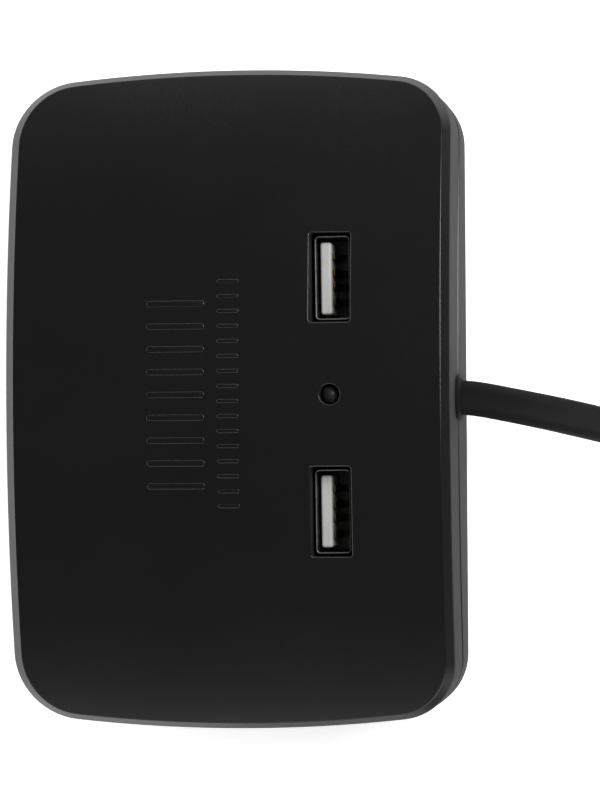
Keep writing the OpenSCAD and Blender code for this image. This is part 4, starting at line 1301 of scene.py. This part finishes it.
class SPLITTER_OT_ports(SplitterOperator, bpy.types.Operator):
    """Make the USB shells, tongues and contacts, and the light"""

    bl_idname = "splitter.ports"
    bl_label = "USB ports and light"

    contact_rows = (-3.5, -1, 1, 3.5)
    lean = {1: 1, 2: 0.2}

    def execute(self, context):
        self.size = in_mm(settings().ports)
        for number, lean in self.lean.items():
            self.port(number, lean)
        self.light()
        return {"FINISHED"}

    def port(self, number, lean):
        low, high = (Vector(p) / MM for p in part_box(f"usb_shell_{number}"))
        extent = high - low
        play = self.size.play * lean
        centre = Vector(((low.x + high.x) / 2 + play, (low.y + high.y) / 2, 0))
        turn = Matrix.Rotation(math.radians(0.5), 3, "Z")

        def put(points):
            return [centre + turn @ Vector(p) for p in points]

        self.shell(number, extent, low.z, high.z, put)
        self.tongue(number, extent, put)
        self.contacts(number, extent, put)

    def shell(self, number, extent, low, high, put):
        """A folded sheet shell with a rounded rim and two spring tongues cut in each broad side."""
        sheet, corner = self.size.sheet, self.size.corner
        outline = rounded_box(extent.x, extent.y, corner, 7)
        rings = []
        for offset, z in ((-sheet, low), (0, low), (0, high - sheet / 2), (-0.02, high - 0.07),
                          (-0.075, high - 0.015), (-sheet / 2, high), (0.075 - sheet, high - 0.015),
                          (0.02 - sheet, high - 0.07), (-sheet, high - sheet / 2)):
            rings.append(put([(x, y, z) for x, y in grown(outline, offset)]))
        shell = raw_piece(f"usb_shell_{number}_formed", skin(rings, looped=True))
        slit, half, foot, top, reach = 0.28, 1.1, high - 7.2, high - 2.3, 0.4
        cuts = []
        for side in (-1, 1):
            x0, x1 = sorted((side * (extent.x / 2 - sheet - reach), side * (extent.x / 2 + reach)))
            for y in (-2.9, 2.9):
                cuts += [self.placed(block(x0, x1, y0, y1, z0, z1), put) for y0, y1, z0, z1 in (
                    (y - half - slit, y - half, foot, top), (y + half, y + half + slit, foot, top),
                    (y - half - slit, y + half + slit, top, top + slit))]
        combine(shell, "DIFFERENCE", joined(*cuts[0::3], *cuts[1::3]), joined(*cuts[2::3]))
        finish(shell, "nickel_sheet", stands_for=(f"usb_shell_{number}",), crease=40)

    def tongue(self, number, extent, put):
        """A white tongue on its base, with a slot in the base for each contact."""
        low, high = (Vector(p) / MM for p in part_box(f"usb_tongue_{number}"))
        inner = extent.x - 2 * self.size.sheet
        x = self.size.tongue_gap - inner / 2 + self.size.tongue / 2
        base_top = low.z + 3.6
        tongue = rounded_box(self.size.tongue, self.size.tongue_width, 0.42, 5)
        rings = [[(x + a, b, base_top - 1) for a, b in tongue]]
        edge = 0.4
        for a in quarter(5):
            rings.append([(x + p, q, high.z - edge * (1 - math.sin(a)))
                          for p, q in grown(tongue, -edge * (1 - math.cos(a)))])
        base = rounded_box(inner - 0.08, extent.y - 2 * self.size.sheet - 0.08, 0.4, 5)
        base_rings = [[(a, b, z) for a, b in grown(base, offset)]
                      for offset, z in ((0, low.z), (0, base_top - 0.15), (-0.15, base_top))]
        piece = raw_piece(f"usb_tongue_{number}_moulded", self.placed(skin(base_rings), put))
        combine(piece, "UNION", self.placed(skin(rings), put))
        start = x + self.size.tongue / 2
        slots = [block(start - 0.02, start + 2.05, y - 0.62, y + 0.62, low.z + 0.8, base_top + 1)
                 for y in self.contact_rows]
        combine(piece, "DIFFERENCE", self.placed(joined(*slots), put))
        finish(piece, "port_plastic", stands_for=(f"usb_tongue_{number}",), crease=40)

    def placed(self, part, put):
        return [tuple(v) for v in put(part[0])], part[1]

    def contacts(self, number, extent, put):
        """Four sprung strips that rise from the base, bow away from the tongue and tuck in at its tip."""
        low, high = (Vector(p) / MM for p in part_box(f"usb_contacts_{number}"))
        inner = extent.x - 2 * self.size.sheet
        face = 0.62 - inner / 2 + self.size.tongue
        sheet, width = 0.2, 1.0
        line = [(0.01, low.z - 2.4), (0.01, low.z + 1), (0.05, low.z + 3), (0.34, high.z - 2.4),
                (0.42, high.z - 1.7), (0.3, high.z - 0.8), (0.06, high.z - 0.05)]
        smooth, _ = smooth_line([(x, z, 0, 0) for x, z in line], 0.35)
        rings = []
        for k, p in enumerate(smooth):
            ahead = (smooth[min(k + 1, len(smooth) - 1)] - smooth[max(k - 1, 0)]).xy.normalized()
            out = Vector((ahead.y, -ahead.x)) * sheet
            near = Vector((face + p.x, p.y))
            far = near + out
            rings.append([(near.x, -width / 2, near.y), (near.x, width / 2, near.y),
                          (far.x, width / 2, far.y), (far.x, -width / 2, far.y)])
        strip = skin(rings)
        places = [(0, y, 0) for y in self.contact_rows]
        piece = copied(f"usb_contacts_{number}_formed", strip, places, "contact_metal")
        for vertex, co in zip(piece.data.vertices, put([v.co for v in piece.data.vertices])):
            vertex.co = co
        finish(piece, "contact_metal", stands_for=(f"usb_contacts_{number}",))

    def light(self):
        """The light: a domed lens on a stepped body with two legs."""
        low, high = LIGHT_LOW / MM, LIGHT_HIGH / MM
        r = self.size.light
        cx, cy = (low.x + high.x) / 2, (low.y + high.y) / 2
        flange = high.z - r - 4.2
        profile = [(0, flange), (r + 0.35, flange), (r + 0.4, flange + 0.05), (r + 0.4, flange + 0.95),
                   (r + 0.35, flange + 1), (r, flange + 1), (r, high.z - r)]
        profile += [(r * math.cos(a), high.z - r + r * math.sin(a)) for a in quarter(12)[1:]]
        lens = raw_piece("light_lens", turned(profile, lambda a, b, z: (cx + a, cy + b, z), 48, closed=False))
        half, spread = 0.25, 0.635
        legs = [block(cx - half, cx + half, y - half, y + half, low.z, flange + 0.3)
                for y in (cy - spread, cy + spread)]
        absorb(lens, raw_piece("legs", joined(*legs)))
        finish(lens, "led_lens", stands_for=("indicator_led",), crease=40)


class SPLITTER_OT_sockets(SplitterOperator, bpy.types.Operator):
    """Make the socket cans and their centre contacts"""

    bl_idname = "splitter.sockets"
    bl_label = "Sockets"

    def execute(self, context):
        size = in_mm(settings().sockets)
        for number, y0 in ((1, -size.pitch), (2, 0.0), (3, size.pitch)):
            self.can(number, y0, size)
            self.contact(number, y0, size)
        return {"FINISHED"}

    def place(self, y0, size):
        x0 = CAN_LOW.x / MM
        return lambda a, b, along: (x0 + along, y0 + a, size.height + b)

    def can(self, number, y0, size):
        """A drawn can with a rolled lip, a seat for a plug's side contacts and three spring slits."""
        bore, outer, lip = size.bore, size.bore + size.sheet, size.lip
        profile = softened([(lip, 0, 0.22), (lip, 0.5, 0.1), (outer, 0.5), (outer, size.depth),
                            (bore, size.depth), (bore, 0, 0.55)], 6)
        can = raw_piece(f"socket_can_{number}_drawn", turned(profile, self.place(y0, size), 128))
        place = self.place(y0, size)
        slit, spread, cuts = 0.25, 3.2, []
        for turn in (60, 180, 300):
            for offset in (-spread, spread):
                a = math.radians(turn) + offset / bore
                side, out = Vector((-math.sin(a), math.cos(a))), Vector((math.cos(a), math.sin(a)))
                corners = [out * r + side * w for r, w in ((bore - 1, -slit), (outer + 1, -slit),
                                                           (outer + 1, slit), (bore - 1, slit))]
                cuts.append(skin([[place(c.x, c.y, along) for c in corners] for along in (9, 25)]))
        combine(can, "DIFFERENCE", joined(*cuts))
        half, thick, middle = 2, size.sheet / 2, -(bore + size.sheet / 2)
        start, end = size.depth - 0.5, CAN_HIGH.x / MM - CAN_LOW.x / MM
        tab = [(middle - thick, -half), (middle + thick, -half), (middle + thick, half), (middle - thick, half)]
        absorb(can, raw_piece("tab", skin([[place(b, a, along) for a, b in tab] for along in (start, end)])))
        finish(can, "nickel_sheet", stands_for=(f"socket_can_{number}",), crease=40)

    def contact(self, number, y0, size):
        """A domed contact on a threaded stud."""
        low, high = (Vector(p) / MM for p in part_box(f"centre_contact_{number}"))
        start, end = low.x - CAN_LOW.x / MM, high.x - CAN_LOW.x / MM
        stud, root, thread = 1.6, 1.38, 0.5
        profile = [(0, start), (2.2, start + 0.03), (3.4, start + 0.2), (4.0, start + 0.55), (4.2, start + 0.9),
                   (4.2, start + 1.4), (4.1, start + 1.5), (stud, start + 1.5)]
        along = start + 3.2
        while along < end - 0.7:
            profile += [(stud, along), (root, along + 0.2), (stud, along + 0.4)]
            along += thread
        profile += [(stud, end - 0.2), (1.4, end), (0, end)]
        contact = raw_piece(f"centre_contact_{number}_turned",
                            turned(profile, self.place(y0, size), 48, closed=False))
        finish(contact, "brass", stands_for=(f"centre_contact_{number}",), crease=40)


class SPLITTER_OT_screws(SplitterOperator, bpy.types.Operator):
    """Make the four screws in the back"""

    bl_idname = "splitter.screws"
    bl_label = "Case screws"

    def execute(self, context):
        form = HousingForm()
        head, shank, thread = 2.8, 1.45, 0.9
        profile = softened([(0, 1.2), (2.5, 1.2, 0.0), (head, 1.6, 0.3), (head, 3.2, 0.1), (shank, 3.2)],
                           3, closed=False)
        along = 4.2
        while along < 16:
            profile += [(1.42, along), (shank, along + 0.12), (1.12, along + 0.45), (1.42, along + 0.8)]
            along += thread
        profile += [(1.1, 16.8), (0, 17.2)]
        source = raw_piece("screw", turned(profile, lambda a, b, z: (a, b, z), 32, closed=False))
        for x, y in ((1.6, 0.3), (0.3, 1.6)):
            combine(source, "DIFFERENCE", block(-x, x, -y, y, 0, 2.3))
        part = ([tuple(v.co) for v in source.data.vertices], [tuple(f.vertices) for f in source.data.polygons])
        discard(source)
        places = [(x, y, 0) for x, y in form.case_screws()]
        screws = copied("case_screws_turned", part, places, "screw_steel")
        finish(screws, "screw_steel", stands_for=("case_screws",), crease=40)
        return {"FINISHED"}


class SPLITTER_OT_plug(SplitterOperator, bpy.types.Operator):
    """Make the lighter plug: boot, ribbed grip, barrel, nose cap, tip, side contacts and spring"""

    bl_idname = "splitter.plug"
    bl_label = "Plug"

    # Distance of the side contacts' middles from the boot's end.
    contact_middle = 68

    def execute(self, context):
        self.size = in_mm(settings().plug)
        self.origin = Vector((BOOT_HIGH.x / MM, (BODY_LOW.y + BODY_HIGH.y) / 2 / MM,
                              (BODY_LOW.z + BODY_HIGH.z) / 2 / MM))
        pieces = [self.boot(), self.body(), self.cap(), self.tip(), self.spring(), self.side_contact(1, 1),
                  self.side_contact(2, -1), NODES["plug_fuse"], NODES["plug_terminal"]]
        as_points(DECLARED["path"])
        return {"FINISHED"}

    def place(self, a, b, along):
        return (self.origin.x - along, self.origin.y + a, self.origin.z + b)

    def boot(self):
        """A tapered boot with rings that let it bend."""
        length, start, end = self.size.grip_start, 4.0, 9.0
        first, pitch, count, wide, deep = 3, 3.3, 6, 1.6, 1.1

        def radius(along):
            return start + (end - start) * along / length

        points = [(0, 0), (radius(0), 0, 0.6)]
        for a in (first + pitch * k for k in range(count)):
            points += [(radius(a), a, 0.35), (radius(a) - deep, a + 0.25, 0.3),
                       (radius(a + wide) - deep, a + 1.35, 0.3), (radius(a + wide), a + wide, 0.35)]
        points += [(radius(length), length, 0.3), (0, length)]
        profile = softened(points, 4, closed=False)
        boot = raw_piece("plug_boot_moulded", turned(profile, self.place, 80, closed=False))
        return finish(boot, "boot_rubber", stands_for=("plug_boot",), crease=40)

    def body(self):
        """The grip and barrel, with ribs around the grip and a pocket for each side contact."""
        s = self.size
        g0, b0, n0 = s.grip_start, s.barrel_start, s.nose_start
        under = s.grip - 0.45
        bore, thread = 3.4, 6.7
        points = [(0, g0), (s.grip - 3, g0, 0.8), (under, g0 + 5.7, 1.5), (under, b0 - 2.2, 0.6),
                  (s.barrel + 0.5, b0 - 0.5, 0.4), (s.barrel, b0, 0.2), (s.barrel, n0, 0.3), (thread, n0, 0.2),
                  (thread, n0 - 6.5), (bore, n0 - 6.5), (bore, 45), (0, 45)]
        body = raw_piece("plug_body_moulded",
                         turned(softened(points, 4, closed=False), self.place, 112, closed=False))
        pocket, floor = rounded_box(20.6, 5.1, 0.6, 4), 7.9
        levels = ((floor, 0), (s.barrel - 0.5, 0), (s.barrel + 0.02, 0.2), (s.barrel + 2, 1))
        combine(body, "DIFFERENCE", joined(*(
            skin([[self.place(side * reach, b, self.contact_middle + a) for a, b in grown(pocket, spread)]
                  for reach, spread in levels]) for side in (-1, 1))))
        rib = self.rib(s.grip, under, g0 + 7.5, b0 - 3.4, 0.55)
        ribs = copied_around("ribs", rib, settings().plug.grip_ribs, self.origin, "plug_plastic")
        absorb(body, ribs)
        return finish(body, "plug_plastic", stands_for=("plug_body",), crease=38)

    def rib(self, top, bottom, start, end, half_width):
        """A long low rib with rounded top and ends."""
        steps = ((start, 0.1, 0.55), (start + 0.25, 0.7, 0.85), (start + 0.8, 1, 1),
                 (end - 0.8, 1, 1), (end - 0.25, 0.7, 0.85), (end, 0.1, 0.55))
        rings = []
        for along, share_high, narrow in steps:
            high = bottom + (top - 0.01 - bottom) * share_high
            w, rise = half_width * narrow, high - bottom
            flank, shoulder = bottom + rise * 0.4, bottom + rise * 0.85
            ring = [(-w, bottom - 0.3), (w, bottom - 0.3), (w, flank), (w * 0.6, shoulder), (0, high),
                    (-w * 0.6, shoulder), (-w, flank)]
            rings.append([self.place(a, b, along) for a, b in ring])
        return skin(rings)

    def cap(self):
        """The screw-on nose cap with fine ribs around it."""
        s = self.size
        n0, n1 = s.nose_start + 0.05, s.nose_end
        hole, bore, thread = 3.75, 5.3, 6.6
        under = s.cap - 0.22
        points = [(hole, n1, 0.3), (hole, n0 + 4), (bore, n0 + 4), (bore, n0 - 6), (thread, n0 - 6, 0.3),
                  (thread, n0), (s.cap - 0.3, n0, 0.15), (under, n0 + 0.6, 0.2), (under, n0 + 2.8, 0.4),
                  (7.2, n1, 1.0)]
        cap = raw_piece("plug_nose_cap_moulded", turned(softened(points, 4), self.place, 96))
        rib = self.rib(s.cap, under, n0 + 0.3, n0 + 2.9, 0.33)
        ribs = copied_around("cap_ribs", rib, settings().plug.cap_ribs, self.origin, "plug_plastic")
        absorb(cap, ribs)
        return finish(cap, "plug_plastic", "nose_cap", ("plug_nose_cap",), crease=38)

    def tip(self):
        """The sprung tip, with a rounded point and a flange inside the cap."""
        s = self.size
        f0 = (BOOT_HIGH.x - TIP_HIGH.x) / MM
        flange, pin = 5, 3.6
        points = [(0, f0), (flange, f0, 0.3), (flange, f0 + 2, 0.3), (pin, f0 + 2), (pin, s.tip_end - 1.9, 0.9),
                  (2.0, s.tip_end - 0.15, 0.7), (0, s.tip_end)]
        tip = raw_piece("plug_tip_turned",
                        turned(softened(points, 6, closed=False), self.place, 64, closed=False))
        return finish(tip, "contact_steel", "tip", ("plug_tip",), crease=40)

    def side_contact(self, number, side):
        """A bowed strip with its ends in the barrel's pocket."""
        s = self.size
        crown, bow, length, middle, steps = s.barrel + 0.9, 1.6, 20, self.contact_middle, 28
        radius = ((length / 2) ** 2 + bow ** 2) / (2 * bow)
        reach = math.asin(length / 2 / radius)
        section = ((-2.3, 0.1), (-2.2, 0), (2.2, 0), (2.3, 0.1),
                   (2.3, 0.5), (2.2, 0.6), (-2.2, 0.6), (-2.3, 0.5))
        tapers = {0: 0.75, 1: 0.9, 2: 0.9}
        rings = []
        for k in range(steps + 1):
            a = -reach + 2 * reach * k / steps
            taper = tapers.get(min(k, steps - k), 1.0)
            ring = []
            for across, deep in section:
                r = radius - deep
                along = min(middle + length / 2, max(middle - length / 2, middle + r * math.sin(a)))
                ring.append(self.place(side * (crown - radius + r * math.cos(a)), across * taper, along))
            rings.append(ring)
        strip = raw_piece(f"plug_side_contact_{number}_bowed", skin(rings))
        return finish(strip, "contact_steel", f"side_contact_{number}",
                      (f"plug_side_contact_{number}",), crease=30)

    def spring(self):
        """The spring behind the fuse: a wound wire that a geometry tree draws."""
        low, high = SPRING_LOW / MM, SPRING_HIGH / MM
        turns, radius, wire, travel = 6.0, 2.7, 0.32, 3.5
        tree, link, inputs, output = new_tree(
            "Wound wire", Turns="Float", Radius="Float", Length="Float", Wire="Float", Material="Material")
        spiral, section, tube, real, paint = (tree.nodes.new("GeometryNode" + kind) for kind in (
            "CurveSpiral", "CurvePrimitiveCircle", "CurveToMesh", "RealizeInstances", "SetMaterial"))
        spiral.inputs["Resolution"].default_value = 20
        section.inputs["Resolution"].default_value = 10
        tube.inputs["Fill Caps"].default_value = True
        for source, target in (("Turns", spiral.inputs["Rotations"]), ("Radius", spiral.inputs["Start Radius"]),
                               ("Radius", spiral.inputs["End Radius"]), ("Length", spiral.inputs["Height"]),
                               ("Wire", section.inputs["Radius"]), ("Material", paint.inputs["Material"])):
            link(inputs.outputs[source], target)
        for source, target in ((spiral, tube.inputs["Curve"]), (section, tube.inputs["Profile Curve"]),
                               (tube, real.inputs[0]), (real, paint.inputs["Geometry"]),
                               (paint, output.inputs[0])):
            link(source.outputs[0], target)
        spring = raw_piece("plug_spring_wound", ([(0, 0, 0)], []))
        length = high.x - low.x - 2 * wire - 0.1
        run_tree(spring, tree, {"Turns": turns, "Radius": radius, "Length": length, "Wire": wire,
                                "Material": FINISHES["spring_steel"]})
        for vertex in spring.data.vertices:
            x, y, z = vertex.co
            vertex.co = (low.x + wire + 0.05 + z, self.origin.y + x, self.origin.z + y)
        finish(spring, "spring_steel", stands_for=("plug_tip_spring",), crease=60)
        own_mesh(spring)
        return spring


class SPLITTER_OT_frame_finish(SplitterOperator, bpy.types.Operator):
    """Give every piece of the frame that stays in sight its own finish"""

    bl_idname = "splitter.frame_finish"
    bl_label = "Frame finishes"

    def execute(self, context):
        slots = {part["node"]: part["material_slot"] for part in frame["record"]["subparts"]}
        for name, node in NODES.items():
            material = FINISHES[slots[name]]
            if not node.data.materials:
                node.data.materials.append(material)
            for slot in node.material_slots:
                slot.material = material
        return {"FINISHED"}


class SPLITTER_PT_panel(bpy.types.Panel):
    """The splitter's operators and settings."""

    bl_idname = "SPLITTER_PT_panel"
    bl_label = "Car Socket Splitter"
    bl_space_type = "VIEW_3D"
    bl_region_type = "UI"
    bl_category = "Splitter"

    def draw(self, context):
        column = self.layout.column()
        for operator in OPERATORS:
            column.operator(operator.bl_idname)
        for group in SplitterSettings.__annotations__:
            box = self.layout.box()
            box.label(text=group.title())
            values = getattr(settings(), group)
            for key in values.__annotations__:
                box.prop(values, key)


OPERATORS = (SPLITTER_OT_stage, SPLITTER_OT_lead, SPLITTER_OT_housing, SPLITTER_OT_ports, SPLITTER_OT_sockets,
             SPLITTER_OT_screws, SPLITTER_OT_plug, SPLITTER_OT_frame_finish)
GROUPS = (HousingSizes, SocketSizes, PortSizes, CordSizes, PlugSizes, FinishColours, StudioSettings,
          SplitterSettings)


def register():
    for cls in (*GROUPS, *OPERATORS, SPLITTER_PT_panel):
        bpy.utils.register_class(cls)
    bpy.types.Scene.splitter = PointerProperty(type=SplitterSettings)


def unregister():
    del bpy.types.Scene.splitter
    for cls in reversed((*GROUPS, *OPERATORS, SPLITTER_PT_panel)):
        bpy.utils.unregister_class(cls)


def main():
    register()
    make_finishes()
    bpy.ops.splitter.stage()
    bpy.ops.splitter.lead()
    bpy.ops.splitter.housing()
    bpy.ops.splitter.ports()
    bpy.ops.splitter.sockets()
    bpy.ops.splitter.screws()
    bpy.ops.splitter.plug()
    bpy.ops.splitter.frame_finish()
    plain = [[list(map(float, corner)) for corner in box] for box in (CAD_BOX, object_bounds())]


if __name__ == "__main__":
    main()
